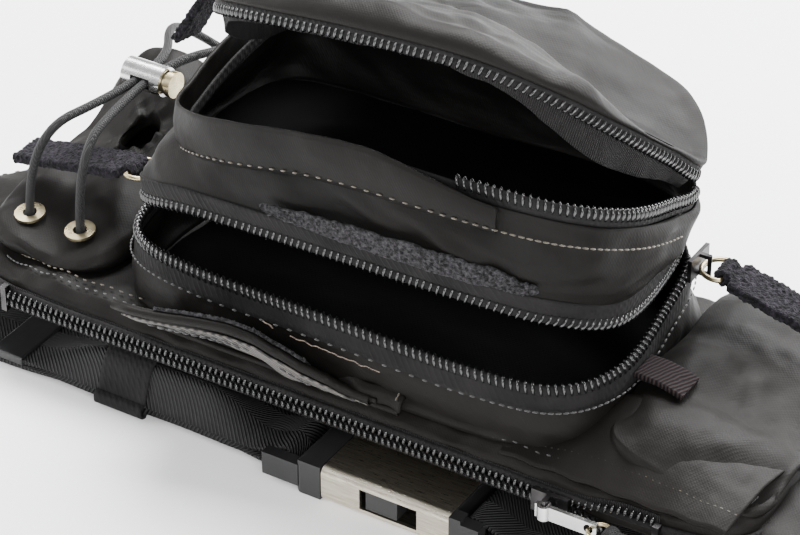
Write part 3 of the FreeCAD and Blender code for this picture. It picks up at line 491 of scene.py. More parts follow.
# ------------------------------------------------------------------ the bag's seams and zip rows
# Each line goes round from the middle of the hinged side, by the left side and the near side, to the right side.
# It lists: hinged-side middle, left; left corner, side, two near-corner points; near side left, middle, right;
# two right near-corner points, right side, right corner, hinged side right.
LOWER_SEAM = level_loop(TOP, [
    (0, 48), (-58, 48), (-79, 41), (-84, 8), (-84, -28), (-75, -44), (-50, -49), (0, -49.6), (48, -49.6), (74, -45),
    (84, -30), (84, 5), (79, 39), (58, 48)])
LOWER_ROW = Loop([
    (0, 46, 60), (-56, 46, 60), (-78, 37, 59.5), (-83, 10, 58), (-83, -24, 56), (-75, -41, 55.5), (-50, -49, 56.5),
    (0, -50.5, 57), (48, -50.5, 56.5), (74, -44, 55.5), (84, -24, 54.5), (82, 6, 56), (76, 34, 59), (56, 46, 60)])
UPPER_ROW = Loop([
    (0, 46, 64), (-56, 46, 64), (-77, 37, 64), (-82, 10, 63.5), (-81, -23, 62.5), (-74, -38, 67.5), (-50, -45.5, 74.5),
    (0, -46.5, 76.5), (44, -46, 77), (68, -38, 73), (80, -20, 66.5), (80, 6, 64), (74, 32, 65), (56, 46, 64)])
RIM_ROW = Loop([
    (0, 52, 102), (-56, 52, 101), (-72, 43, 99), (-75, 16, 95), (-71, -12, 93), (-63, -28, 96.5), (-42, -40, 105),
    (0, -44, 114), (44, -44, 115), (68, -36, 111), (80, -18, 103), (82, 6, 94), (79, 30, 87), (58, 50, 94)])
LID_ROW = Loop([
    (0, 55, 105), (-50, 55, 104), (-62, 46, 105), (-65, 18, 112), (-62, -9, 124), (-54, -24, 133), (-36, -33, 140),
    (0, -36, 145), (36, -35, 146), (58, -28, 139), (72, -12, 124), (79, 8, 107), (80, 28, 92), (58, 53, 98)])
NEAR_START, NEAR_END = 2.2 / POINTS, 11.9 / POINTS      # the rows' ends, short of the hinged side
LID_UP = Vector((0, 0.40, 0.92)).normalized()
LID_THICK = 6


def between_loops(first, second, bulge=0.0, crease=None):
    """A place function for a wall that runs from one line up to another."""
    def place(u, v):
        low, high = first.at(u), second.at(u)
        out = first.outward(u).lerp(second.outward(u), v)
        swell = bulge * math.sin(math.pi * v)
        spot = low.lerp(high, v)
        if crease:
            swell += crease(spot, u, v) * min(1.0, 6 * v, 6 * (1 - v))
        return spot + out * swell
    return place


def wall(name, first, second, finish, body, nodes=(), bulge=0.0, crease=None, rows=14, thick=1.2):
    return sewn(name, 280, rows, between_loops(first, second, bulge, crease), finish, body, nodes, thick,
                around=True, turn=True)


def floor_sheet(name, loop, sag, finish, body, nodes=()):
    """The cloth across the bottom of a compartment."""
    centre = loop.middle()

    def place(u, v):
        edge = loop.moved(out=-1.0).at(u)
        spot = edge.lerp(centre, v * 0.97)
        fall = sag * math.sin(0.5 * math.pi * v)
        return spot + Vector((0, 0, -fall + crumple(spot, 30, 1.5, 3.0)))

    bm = grid_sheet(160, 16, place, around=True)
    inner = [vert for vert in bm.verts if (vert.co / MM - centre).length < 6]
    bmesh.ops.contextual_create(bm, geom=[e for e in bm.edges if e.is_boundary and e.verts[0] in inner])
    return finish_piece(name, bm, finish, body, nodes)


def zip_row(name, loop, start, end, body, toward, nodes=()):
    """The coil of one zip half: a rounded loop of wire for every pitch, leaning a little as it winds."""
    bm = bmesh.new()
    for u in even_steps(loop, start, end, PITCH):
        along = loop.tangent(u)
        across = toward(u) if callable(toward) else toward
        across = (across - along * across.dot(along)).normalized()
        out = along.cross(across).normalized()
        lean = (across + along * 0.22).normalized()
        turn = Matrix((along, lean, out)).transposed().to_4x4()
        size = Matrix.Diagonal((1.35, 4.7, 2.9, 1))
        place = Matrix.Translation(loop.at(u) + across * 0.6) @ turn @ size
        bead(bm, place, wire=True)
    finish_piece(name + "_core", row_core(loop, start, end, toward), "tape", body, ())
    return finish_piece(name, bm, "coil", body, nodes)


def row_core(loop, start, end, toward):
    """The sewn filler cord inside the coil: it fills the gaps between the wires."""
    def place(u, v):
        spot = mix(start, end, u)
        along = loop.tangent(spot)
        across = toward(spot) if callable(toward) else toward
        across = (across - along * across.dot(along)).normalized()
        out = along.cross(across)
        turn = 2 * math.pi * v
        return loop.at(spot) + across * (0.9 + 1.75 * math.cos(turn)) + out * 0.8 * math.sin(turn)
    return grid_sheet(240, 8, place, around=True)


def zip_tape(name, loop, start, end, body, toward, width, inward=0.0):
    """The ribbed tape that a coil is sewn to, hanging free along its other edge."""
    def place(u, v):
        spot = mix(start, end, u)
        flutter = crumple(loop.at(spot), 16, 1.6, 9.0) * v
        return loop.at(spot) + toward * (v * width(u)) - loop.outward(spot) * (1.2 + inward * v - flutter)

    return sewn(name, 260, 8, place, "ribbed_tape", body, (), 0.7, 0.0)


def stitch_line(name, body, line, count, finish="black_thread", long=2.1, radius=0.32):
    """Separate stitches of thread: line gives the place and the surface's outward way for u from 0 to 1."""
    bm = bmesh.new()
    for k in range(count):
        u = (k + 0.5) / count
        here, out = line(u)
        ahead, _ = line(min(1.0, u + 0.002))
        behind, _ = line(max(0.0, u - 0.002))
        along = (ahead - behind).normalized()
        side = out.cross(along).normalized()
        turn = Matrix((along, side, along.cross(side))).transposed().to_4x4()
        size = Matrix.Diagonal((long, 2 * radius, 2 * radius, 1))
        place = Matrix.Translation(here + out * 0.15) @ turn @ size
        bead(bm, place)
    return finish_piece(name, bm, finish, body)


def row_up(loop, next_loop):
    """The way from a row towards the seam beyond it."""
    return lambda u: (next_loop.at(u) - loop.at(u)).normalized()


# ------------------------------------------------------------------ compartments
def lower_creases(spot, u, v):
    return crumple(spot, 22, 1.6, 1.0) + crumple(Vector((spot.x, spot.y, spot.z * 2.5)), 46, 1.6, 4.0)


def upper_creases(spot, u, v):
    right = max(0.0, min(1.0, (spot.x + 10) / 90))
    slant = Vector((spot.x * 0.6 + spot.z * 1.2, spot.y * 0.5, spot.z - spot.x * 0.25))
    return crumple(slant, 26, 1.8 + 2.0 * right, 7.0) + crumple(spot, 60, 1.5, 2.0)


def make_lower_compartment():
    row_seam = LOWER_ROW.moved(out=0.9, up=-6.5)
    wall("lower_wall", LOWER_SEAM, row_seam, "nylon", "bag", ("lower_compartment", "lower_hinge_strip"), 0.6,
         lower_creases)
    down = row_up(LOWER_ROW, row_seam)
    wall("lower_rim_band", row_seam.moved(out=0.6, up=-1.5), LOWER_ROW.moved(out=0.4, up=-1.2), "tape", "bag", (), 0.2,
         None, 4, 0.8)
    zip_row("lower_zip_lower_coil", LOWER_ROW, NEAR_START, NEAR_END, "bag", down, ("lower_zip_lower_half",))
    floor_sheet("lower_floor_lining", LOWER_SEAM.moved(out=-2, up=1.5), 0.0, "lining", "bag")
    stitch_line("lower_rim_stitches", "bag",
                lambda u: (row_seam.moved(out=1.5, up=-0.6).at(u), LOWER_ROW.outward(u)), 150)


def make_upper_compartment():
    low_seam = UPPER_ROW.moved(out=0.6, up=7.0)
    rim_seam = RIM_ROW.moved(out=0.5, up=-5.0)
    wall("upper_wall", low_seam, rim_seam, "nylon", "upper_box",
         ("upper_compartment", "upper_hinge_strip", "upper_hinge_sleeve"), 1.2, upper_creases, 22)
    wall("upper_low_band", UPPER_ROW.moved(out=0.2, up=1.4), low_seam.moved(out=0.5, up=1.0), "tape", "upper_box", (),
         0.2, None, 5, 0.8)
    zip_row("lower_zip_upper_coil", UPPER_ROW, NEAR_START, NEAR_END, "upper_box", row_up(UPPER_ROW, low_seam),
            ("lower_zip_upper_half",))
    zip_row("upper_zip_rim_coil", RIM_ROW, 7.9 / POINTS, NEAR_END, "upper_box", row_up(RIM_ROW, rim_seam),
            ("upper_zip_lower_half",))
    wall("rim_tape", rim_seam.moved(out=-0.6), RIM_ROW.moved(up=-1.0), "tape", "upper_box", (), 0.0, None, 4, 0.7)
    floor_sheet("upper_floor_lining", low_seam.moved(out=-1.5, up=1.0), 2.0, "lining", "upper_box")


def rim_facing():
    """The turned edge of the upper compartment: plain cloth outside the rim, held by a line of thread."""
    top = RIM_ROW.moved(out=3.0, up=1.0)
    low = RIM_ROW.moved(out=3.4, up=-11.0)

    def place(u, v):
        spot = mix(NEAR_START, 8.3 / POINTS, u)
        fade = 1 - smooth_step(0.82, 1.0, u)
        edge = top.at(spot) + Vector((0, 0, 2.4 * fade - 4.5 * (1 - fade)))
        base = low.at(spot)
        swell = 0.9 * math.sin(math.pi * v) + crumple(edge.lerp(base, v), 20, 0.6, 5.0)
        return edge.lerp(base, v) + top.outward(spot) * swell

    sewn("rim_facing", 200, 8, place, "nylon", "upper_box", ("upper_rim_facing",), thick=1.0)

    def thread_line(u):
        spot = mix(NEAR_START, 11.0 / POINTS, u)
        return low.moved(out=1.3, up=1.2).at(spot), low.outward(spot)

    stitch_line("rim_facing_stitches", "upper_box", thread_line, 96, "olive_thread", 2.2, 0.3)


def lid_creases(spot):
    """Two long soft ridges and a general crumple across the lid."""
    ridge = 0.0
    for x, y, slope, width, high in ((52, 4, -1.5, 4.5, 2.4), (18, 12, -0.7, 5.5, 1.8), (-25, 18, 0.9, 7, 1.4)):
        off = (spot.y - y) - slope * (spot.x - x)
        ridge += 0.75 * high * math.exp(-(off / width / (1 + abs(slope))) ** 2)
    return ridge + crumple(spot, 34, 2.2, 8.0) + crumple(spot, 13, 0.5, 2.0)


def make_lid():
    seam = Loop([p + LID_UP * 3.2 + LID_ROW.outward(k / POINTS) * 1.2 for k, p in enumerate(LID_ROW.points)])
    centre = seam.middle() + LID_UP * 1
    shoulder = 0.38

    def place(u, v):
        edge = seam.at(u)
        if v < shoulder:
            turn = v / shoulder * math.pi / 2
            inset = LID_THICK * (1 - math.cos(turn)) * 0.8
            rise = LID_THICK * math.sin(turn)
            spot = edge - seam.outward(u) * (inset - 1.6 * math.sin(2 * turn))
        else:
            t = (v - shoulder) / (1 - shoulder)
            inner = edge - seam.outward(u) * LID_THICK * 0.8
            spot = inner.lerp(centre, t)
            rise = LID_THICK + 4.0 * (1 - (1 - t) ** 2)
        rise *= 1 - 0.62 * smooth_step(22, 72, spot.x) - 0.45 * smooth_step(-8, -52, spot.x)
        return spot + LID_UP * (rise + lid_creases(spot) * min(1.0, 3 * v))

    item = sewn("lid_panel", 280, 44, place, "nylon", "lid", ("upper_lid", "lid_hinge_sleeve"), thick=1.2, around=True,
                merge=2e-5, turn=True)
    wall("lid_side_band", LID_ROW.moved(out=0.3, up=1.6), seam, "tape", "lid", (), 0.3, None, 6, 0.8)
    zip_row("upper_zip_lid_coil", LID_ROW, NEAR_START, NEAR_END, "lid", LID_UP, ("upper_zip_lid_half",))

    def hang(u):
        left = math.exp(-((u - 0.12) / 0.13) ** 2)
        right = math.exp(-((u - 0.80) / 0.13) ** 2)
        return 3.2 + 6.5 * left + 7.5 * right

    zip_tape("lid_zip_tape", LID_ROW, NEAR_START, NEAR_END, "lid", -LID_UP, hang, 2.5)
    inner = seam.moved(out=-1.2)

    def lining_place(u, v):
        spot = inner.at(u).lerp(centre, v)
        return spot + LID_UP * (3.0 * math.sin(0.5 * math.pi * v) + crumple(spot, 25, 1.0, 6.0))

    sewn("lid_lining", 160, 14, lining_place, "lining", "lid", around=True, merge=2e-5)


def make_stripes_of_fuzz():
    """The torn hook-and-loop strip on the upper compartment."""
    low_seam = UPPER_ROW.moved(out=2.4, up=9.5)

    def place(u, v):
        spot = 6.55 / POINTS + (2.25 / POINTS) * u
        edge = 3.6 + 1.6 * noise.noise(Vector((u * 7, 0, 1))) * (1 if v > 0.5 else -0.6)
        shape = math.sin(math.pi * min(1, max(0, u))) ** 0.35
        rough = 0.8 * noise.noise(Vector((u * 60, v * 14, 4)))
        return low_seam.at(spot) + Vector((0, 0, 2.5 + (v - 0.5) * 2 * edge * shape)) \
            + low_seam.outward(spot) * (1.3 + rough)

    sewn("torn_loop_strip", 120, 14, place, "fuzz", "upper_box", ("upper_velcro",), 0.8)


def make_scratch():
    """A pale chalky mark, in a short and a long stroke, on the lower compartment's near wall."""
    beads = 60
    bm = bmesh.new()
    for k in range(beads):
        u = k / (beads - 1)
        if 0.18 < u < 0.22:
            continue
        start, end, high, t = (-11, 20, 48.6, (u - 0.22) / 0.78) if u > 0.2 else (-21, -17.5, 50.2, u / 0.18)
        t = max(0.0, min(1.0, t))
        x = mix(start, end, t)
        z = high + (-1.2 * t + 0.5 * noise.noise(Vector((x * 0.4, 0, 5))))
        up_wall = (z - TOP) / 24
        y = -53 + 2.5 * up_wall - 5.2 * math.sin(math.pi * up_wall) * 0.55
        size = Matrix.Diagonal((0.9, 0.5, 0.28 + 0.22 * noise.noise(Vector((x, 1, 2))), 1))
        bead(bm, Matrix.Translation((x, y - 0.1, z)) @ size)
    finish_piece("chalk_mark", bm, "scratch", "bag")


# ------------------------------------------------------------------ the front flap
FLAP_LOW = Vector((0, -52.5, 34.7))
FLAP_LEAN = math.radians(36)
FLAP_UP = Vector((0, -math.sin(FLAP_LEAN), math.cos(FLAP_LEAN)))
FLAP_OUT = Vector((0, -math.cos(FLAP_LEAN), -math.sin(FLAP_LEAN)))
FLAP_TALL = ((-67, 20), (-60, 21.5), (-45, 21), (-30, 20), (-20, 18.5), (-12, 14.5), (-4, 10.5), (4, 9), (8, 5.5),
             (12, 3.5), (25, 3))        # the flap's height in mm at each x


def flap_height(x):
    for (x0, h0), (x1, h1) in zip(FLAP_TALL, FLAP_TALL[1:]):
        if x <= x1:
            return mix(h0, h1, smooth_step(x0, x1, x))
    return FLAP_TALL[-1][1]


def flap_spot(x, high, out=0.0):
    """A place on the standing flap: its free edge waves and leans out more at the left."""
    wave = 1.8 * math.sin(x * 0.075) * (high / 20) + 2.0 * smooth_step(-20, -66, x) * (high / 20)
    return Vector((x, 0, 0)) + FLAP_LOW + FLAP_UP * high + FLAP_OUT * (out + wave)


def make_flap():
    def cloth(u, v):
        x = -67 + 86 * u + 5 * (1 - v) * smooth_step(0.1, 0.0, u)
        tall = flap_height(x)
        return flap_spot(x, 0.6 + (tall - 0.6) * v, 0.9 * math.sin(math.pi * v))

    sewn("flap_cloth", 120, 12, cloth, "nylon", "flap", ("front_flap",), thick=1.1)

    def roll(u, v):
        x = -67 + 84 * u
        tall = flap_height(x)
        turn = 2 * math.pi * v
        return flap_spot(x, tall - 1.4 + 2.0 * math.cos(turn), 0.4 + 1.5 * math.sin(turn))

    sewn("flap_rolled_edge", 120, 12, roll, "nylon", "flap", around=True)

    def band(u, v):
        x = -64 + 80 * u
        tall = flap_height(x)
        deep = 3.5 + 7.5 * smooth_step(-40, -5, x)
        high = tall - 3.4 - deep * v
        return flap_spot(x, max(0.4, high), 1.9 + 0.3 * math.sin(x * 0.4) * v)

    # The twill band: a binding whose pale grey finish is partly painted light.
    sewn("flap_twill_band", 120, 6, band, "twill", "flap", thick=0.6)
    for row, (start, end, low) in enumerate(((-55, -20, 4.6), (-52, -24, 6.2), (-12, -2, 6.5))):
        def line(u, start=start, end=end, low=low):
            x = mix(start, end, u)
            return flap_spot(x, max(1.0, flap_height(x) - low), 3.0), FLAP_OUT
        stitch_line("flap_stitches_%d" % row, "flap", line, 10 if row < 2 else 4, "black_thread", 3.0, 0.35)

    def hooks(u, v):
        x = -52 + 48 * u
        rough = 0.7 * noise.noise(Vector((u * 60, v * 10, 2)))
        return flap_spot(x, flap_height(x) - 6 + 6.6 * v + rough, -1.0 - 0.4 * rough)

    sewn("flap_hook_strip", 120, 10, hooks, "fuzz", "flap", ("flap_velcro",), 1.0)

    def turned(u, v):
        x = 4 + 23 * u
        edge = 1 - abs(2 * v - 1) ** 4
        return Vector((x, -53.0 + 4.5 * v + 1.2 * math.sin(x * 0.35) - 1.8 * u,
                       35.4 + 3.2 * edge * (1 - 0.35 * u) + 2.5 * v))

    sewn("flap_turned_end", 40, 14, turned, "nylon", "bag", ("flap_binding",), thick=0.9)

    def end_line(u):
        return Vector((25.2, -53.4 + 5 * u, 38.4 + 2.6 * u)), Vector((0, -0.4, 0.9))
    stitch_line("flap_end_stitches", "bag", end_line, 4, "olive_thread", 1.6, 0.25)

    def bind(u, v):
        turn = 2 * math.pi * v
        x = -68 + 94 * u
        return Vector((x, -52.7 + 1.1 * math.cos(turn), 33.9 + 1.1 * math.sin(turn)))

    sewn("flap_seam", 90, 8, bind, "nylon", "bag", around=True)


# ------------------------------------------------------------------ the base, the pad and the wings
BASE_EDGE = level_loop(25, [
    (0, 54), (-60, 54), (-112, 53.5), (-136, 44), (-140, 10), (-140, -20), (-136, -45), (-112, -53.5), (-60, -54),
    (0, -54.3), (60, -54), (112, -53.5), (136, -45), (140, -20), (140, 10), (136, 44), (112, 53.5), (60, 54)])
BASE_SIDE = (       # v, inset and height in mm: from the underside, round the near side and its recess, to the top
    (0.0, 60, 13.3), (0.14, 20, 13.3), (0.22, 13, 14.6), (0.30, 7.0, 18), (0.38, 1.2, 22.4), (0.42, 2.4, 23.4),
    (0.48, 2.4, 26.6), (0.52, 0.3, 27.6), (0.60, 1.0, 30.4), (0.68, 4.4, 33.0), (0.80, 12, 33.6), (1.0, 60, 31.0))


def profile(stations, v):
    """The inset and the height at v, from stations of (v, inset, height)."""
    for (v0, a0, b0), (v1, a1, b1) in zip(stations, stations[1:]):
        if v <= v1:
            t = (v - v0) / (v1 - v0)
            return mix(a0, a1, t), mix(b0, b1, t)
    return stations[-1][1:]


def base_spot(u, inset, high):
    """A place on the base: a distance in from its edge, at a height."""
    corner, deepest = 14, 60
    edge = BASE_EDGE.at(u)
    spot = edge - BASE_EDGE.outward(u) * min(inset, corner)
    if inset >= corner:
        spot = spot.lerp(Vector((edge.x * 0.55, 0, 0)), (inset - corner) / (deepest - corner))
    spot.z = high
    return spot


def base_ripple(spot, inset):
    """The soft unevenness of the base's top and the puckers along its stitched edge."""
    pucker = 0.8 * noise.noise(Vector((spot.x * 0.13, spot.y * 0.07, 3.0))) * smooth_step(30, 2, inset)
    gather = 0.35 * math.sin(spot.x * 0.42 + 0.8 * math.sin(spot.x * 0.11)) * smooth_step(16, 5, inset)
    return pucker + gather + crumple(spot, 24, 1.0, 12.0)


def make_base():
    def place(u, v):
        inset, high = profile(BASE_SIDE, v)
        front = smooth_step(-0.5, -0.95, BASE_EDGE.outward(u).y)
        if 0.40 < v < 0.50:
            inset = inset * front + 0.3 * (1 - front)
        spot = base_spot(u, inset, high)
        top = smooth_step(0.56, 0.66, v)
        spot.z += top * base_ripple(Vector((spot.x, spot.y, 33)), inset)
        if 0.24 < v < 0.62:
            spot -= BASE_EDGE.outward(u) * (0.5 * noise.noise(Vector((spot.x * 0.12, spot.z * 0.1, 8.0))))
        return spot

    sewn("base_shell", 420, 60, place, "nylon", "bag", ("rear_pocket", "base_top_panel"), thick=1.0, around=True,
         turn=True)

    def welt(inset, high, start, end):
        def line(u):
            spot = base_spot(mix(start, end, u), inset, high)
            spot.z += base_ripple(Vector((spot.x, spot.y, 33)), inset)
            return spot, Vector((0, -0.3, 0.95))
        return line

    for k, (inset, high) in enumerate(((5.5, 33.6), (9.0, 34.1))):
        stitch_line("base_top_stitches_%d" % k, "bag",
                    welt(inset, high + 0.3, 6.5 / BASE_POINTS, 12.5 / BASE_POINTS), 92,
                    "olive_thread" if k else "black_thread", 1.9, 0.26)

    def piping(u, v):
        turn = 2 * math.pi * v
        round_edge = 5.6 / BASE_POINTS + 7.8 / BASE_POINTS * u
        spot = base_spot(round_edge, 0.4, 27.6)
        out = BASE_EDGE.outward(round_edge)
        return spot + out * (0.7 + 0.9 * math.cos(turn)) + Vector((0, 0, 1.1 * math.sin(turn)))

    sewn("base_welt", 240, 8, piping, "tape", "bag", around=True)

    def pad(u, v):
        """u round the pad's edge, v from its top face, round the side, to the middle of its underside."""
        turn = 2 * math.pi * u
        c, d = math.cos(turn), math.sin(turn)
        x = 116 * squared(c, 0.28)
        y = 22 + 30 * squared(d, 0.34)
        if v < 0.4:
            roll = v / 0.4 * math.pi
            inset, high = 5 * (1 - math.sin(roll)), 7.2 + 5.4 * math.cos(roll)
        else:
            inset, high = 5 + 27 * (v - 0.4) / 0.6, 1.8
        x -= math.copysign(min(inset, abs(x)), x) * abs(c) ** 0.5
        y -= (inset if y > 22 else -inset) * min(1.0, abs(y - 22) / 6)
        quilt = abs(math.sin(x * math.pi / 48)) ** 0.4
        if v > 0.3:
            high += 1.3 * (1 - quilt) - 1.4 * min(1.0, (v - 0.3) * 4) * quilt
        return Vector((x, y, max(0.1, high)))

    item = sewn("back_pad", 240, 44, pad, "mesh", "bag", ("lumbar_pad",), around=True, turn=True)


def make_wing(side):
    """A padded side wing: it narrows from the base to the webbing."""
    root, tip = side * 137, side * 186

    def skin(u, v):
        """u from the root to the tip, v round the section."""
        x = mix(root, tip, u)
        ease = u ** 1.15
        half, mid = mix(39, 21, ease), mix(-6, -39, ease)
        low, high = mix(16.2, 19.6, ease), mix(30, 24.4, ease)
        turn = 2 * math.pi * v
        c, d = math.cos(turn), math.sin(turn)
        y = mid + half * squared(c, 0.8)
        thick = (high - low) / 2
        z = (low + high) / 2 + thick * squared(d, 0.75)
        spot = Vector((x, y, z))
        spot.z += max(0.0, d) * (crumple(spot, 26, 1.6, 4.0) + 0.8 * math.sin(y * 0.28 + x * 0.1) * (1 - u))
        return spot

    bm = grid_sheet(50, 90, skin)
    bmesh.ops.remove_doubles(bm, verts=bm.verts, dist=1e-6)
    bmesh.ops.holes_fill(bm, edges=[e for e in bm.edges if e.is_boundary], sides=0)
    bmesh.ops.recalc_face_normals(bm, faces=bm.faces)
    name = "right_wing" if side > 0 else "left_wing"
    item = finish_piece(name + "_cover", bm, "nylon", "bag", (name,))
    for k, v in enumerate((0.06, 0.44)):
        def line(u, v=v):
            return skin(0.02 + 0.95 * u, v), Vector((0, 0.2 if k == 0 else -0.2, 0.97))
        stitch_line(name + "_stitches_%d" % k, "bag", line, 16, "olive_thread", 2.0, 0.26)


# ------------------------------------------------------------------ the side pockets
DRAW_EDGE = level_loop(TOP, [
    (-115, 50), (-130, 48), (-138, 38), (-139, 15), (-139, -10), (-137, -33), (-128, -42), (-112, -42.5), (-98, -41),
    (-91.5, -32), (-91, -8), (-90.5, 18), (-92, 40), (-100, 49)])


def hood_level(y):
    return 41 + (y + 42) * math.tan(math.radians(8))


def make_drawcord_pocket():
    mouth = Vector((-115, 14, 0))

    def place(u, v):
        edge, out = DRAW_EDGE.at(u), DRAW_EDGE.outward(u)
        angle = math.atan2(edge.y - mouth.y, edge.x - mouth.x)
        rim = mouth + Vector((5.5 * math.cos(angle), 9.0 * math.sin(angle), 0))
        if v < 0.3:
            t = v / 0.3
            spot = edge + out * (2.2 * math.sin(math.pi * t))
            spot.z = 33.5 + (hood_level(edge.y) - 35.5) * t
        elif v < 0.9:
            t = (v - 0.3) / 0.6
            spot = edge.lerp(rim, t)
            spot.z = hood_level(spot.y) - 2.0 + 2.6 * math.sin(min(1.0, t * 1.6) * math.pi / 2) + 1.2 * t
            spot.z += 0.4 * t ** 3 * math.sin(angle * 11) + 0.8 * t * math.sin(angle * 5 + 1)
        else:
            t = (v - 0.9) / 0.1
            spot = rim * (1 - 0.06 * t) + mouth * 0.06 * t
            spot.z = hood_level(spot.y) + 1.8 - 5 * t + 0.4 * (1 - t) * math.sin(angle * 11)
        fold = crumple(spot, 28, 2.6, 7.0) + 1.5 * math.sin((spot.x + spot.y * 0.45) * 0.16)
        spot.z += min(1.0, v * 5) * fold * (0.5 if v > 0.8 else 1)
        spot.z += 12 * smooth_step(14, 46, spot.y) * smooth_step(0.05, 0.4, v)
        return spot

    sewn("drawcord_pocket_cloth", 260, 50, place, "nylon", "bag", ("drawcord_pocket", "drawcord_hood"), thick=0.9,
         around=True, turn=True)

    def inside(u, v):
        angle = 2 * math.pi * u
        wide = 1 + 0.25 * math.sin(math.pi * v)
        shut = 1 - 0.98 * max(0, v - 0.8) / 0.2
        return Vector((mouth.x + 5.2 * wide * math.cos(angle) * shut, mouth.y + 8.6 * wide * math.sin(angle) * shut,
                       hood_level(14) + 2 - 12 * min(1, v / 0.8)))

    sewn("drawcord_pocket_lining", 60, 14, inside, "lining", "bag", around=True, merge=4e-4)

    def seam(u):
        near_side = 6.0 / POINTS + 4 / POINTS * u
        return DRAW_EDGE.moved(out=0.6, up=2.0).at(near_side), DRAW_EDGE.outward(near_side)

    stitch_line("drawcord_pocket_stitches", "bag", seam, 20, "olive_thread", 2.0, 0.26)


RIGHT_EDGE = level_loop(TOP, [
    (112, 50), (94, 48), (87.5, 38), (87, 15), (87, -12), (88, -32), (94, -41), (110, -42.5), (126, -42), (136, -36),
    (138, -14), (138, 14), (137, 38), (128, 49)])


def right_level(x, y):
    return 47.5 - 8.5 * smooth_step(94, 139, x) - 3.5 * smooth_step(-18, -43, y)


def make_right_pocket():
    centre = Vector((112, 4, 0))

    def place(u, v):
        edge, out = RIGHT_EDGE.at(u), RIGHT_EDGE.outward(u)
        if v < 0.35:
            t = v / 0.35
            spot = edge + out * (1.6 * math.sin(math.pi * t))
            spot.z = 33.3 + (right_level(edge.x, edge.y) - 35.8) * math.sin(t * math.pi / 2)
        else:
            t = (v - 0.35) / 0.65
            spot = edge.lerp(centre, t)
            spot.z = right_level(spot.x, spot.y) - 2.5 + 2.8 * math.sin(min(1.0, t * 2.4) * math.pi / 2)
        spot.z += min(1.0, v * 5) * (crumple(spot, 26, 1.9, 14.0) + 1.0 * math.sin((spot.x * 0.5 - spot.y) * 0.16))
        return spot

    sewn("right_pocket_cloth", 240, 44, place, "nylon", "bag", ("right_side_pocket",), thick=0.9, around=True,
         merge=2e-5, turn=True)

    def drape(x, v):
        """The panel in front of the pocket: from the pocket's shoulder down to the base's near edge."""
        y = -22 - 30.5 * v
        top, low = right_level(x, -22) - 2.4, 32.2
        high = low + (top - low) * (1 - v) ** 1.1 + 2.6 * math.sin(math.pi * v)
        high -= 12.0 * smooth_step(92, 60, x) * (1 - v)
        high += crumple(Vector((x, y, 40)), 16, 0.9, 3.0) * math.sin(math.pi * v) + 0.35 * math.sin(x * 0.5) * v
        return Vector((x, y, high))

    sewn("right_panel", 110, 22, lambda u, v: drape(60 + 77 * u - 4 * u * v, v), "nylon", "bag", thick=0.9, turn=True)
    stitch_line("right_panel_stitches", "bag", lambda u: (drape(64 + 70 * u, 0.78) + Vector((0, 0, 0.6)),
                Vector((0, -0.4, 0.9))), 32, "olive_thread", 2.0, 0.27)

    def tab(u, v):
        x = 86 + 16 * u
        y = -14 + 11 * (v - 0.5)
        return Vector((x, y, 49.4 - 0.16 * (x - 94) + 0.9 * math.sin(math.pi * u)))

    sewn("woven_side_tab", 30, 20, tab, "tab", "bag", ("webbing_tab",), 1.8)


# ------------------------------------------------------------------ the rear zip
def make_rear_zip():
    for side, half, node in ((1, "top", "rear_zip_top"), (-1, "bottom", "rear_zip_bottom")):
        bm = bmesh.new()
        x = -118.0
        while x < 111:
            gap = 1.5 + 3.2 * smooth_step(84, 104, x)
            rise = 0.6 * smooth_step(84, 112, x)
            lean = Matrix.Rotation(math.radians(12 * side), 4, "Y")
            size = Matrix.Diagonal((1.25, 2.6, 3.0, 1))
            place = Matrix.Translation((x + 0.45 * side, -55.1 + rise, 25 + side * gap)) @ lean @ size
            bead(bm, place, wire=True)
            x += PITCH
        finish_piece("rear_coil_" + half, bm, "coil", "bag", (node,))

        def tape(u, v, side=side):
            x = -120 + 233 * u
            gap = 3.2 * smooth_step(84, 104, x)
            z = 25 + side * (0.4 + gap + (3.6 - 0.2 * gap) * v)
            return Vector((x, -54.3 + 0.5 * v + 0.5 * smooth_step(84, 112, x), z))

        sewn("rear_tape_" + half, 200, 5, tape, "ribbed_tape", "bag", thick=0.6)
    for node in ("rear_stop_left", "rear_stop_right"):
        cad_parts[node].material_slots[0].material = FINISH["dark_metal"]


# ------------------------------------------------------------------ pull tabs
def soft_copy(name, node, body):
    """A cloth piece grown from a part's own shape: remeshed fine, then roughened."""
    voxel, push, size = 0.45, 0.55, 0.9
    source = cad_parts[node]
    bm = bmesh.new()
    bm.from_mesh(source.data)
    bmesh.ops.remove_doubles(bm, verts=bm.verts, dist=1e-6)
    rough = bpy.data.meshes.new(name + "_blank")
    bm.to_mesh(rough)
    bm.free()
    blank = bpy.data.objects.new(name + "_blank", rough)
    bpy.context.collection.objects.link(blank)
    remesh = blank.modifiers.new("remesh", "REMESH")
    remesh.mode = "VOXEL"
    remesh.voxel_size = voxel * MM
    shape = bpy.data.meshes.new_from_object(blank.evaluated_get(bpy.context.evaluated_depsgraph_get()))
    bpy.data.objects.remove(blank)
    bm = bmesh.new()
    bm.from_mesh(shape)
    bmesh.ops.smooth_vert(bm, verts=bm.verts, factor=0.5, use_axis_x=True, use_axis_y=True, use_axis_z=True)
    bm.normal_update()
    for vert in bm.verts:
        spot = vert.co / MM
        slow = noise.noise(spot / (size * 4))
        fast = noise.noise(spot / size)
        vert.co += vert.normal * push * (0.5 * slow + fast + 0.5) * MM
    finish_piece(name, bm, "pull", body, (node,))


def make_pulls():
    for side, node in (("left", "left_tab"), ("right", "right_tab"), ("upper", "upper_left_tab")):
        soft_copy(side + "_pull_cloth", node, side + "_pull_tab")


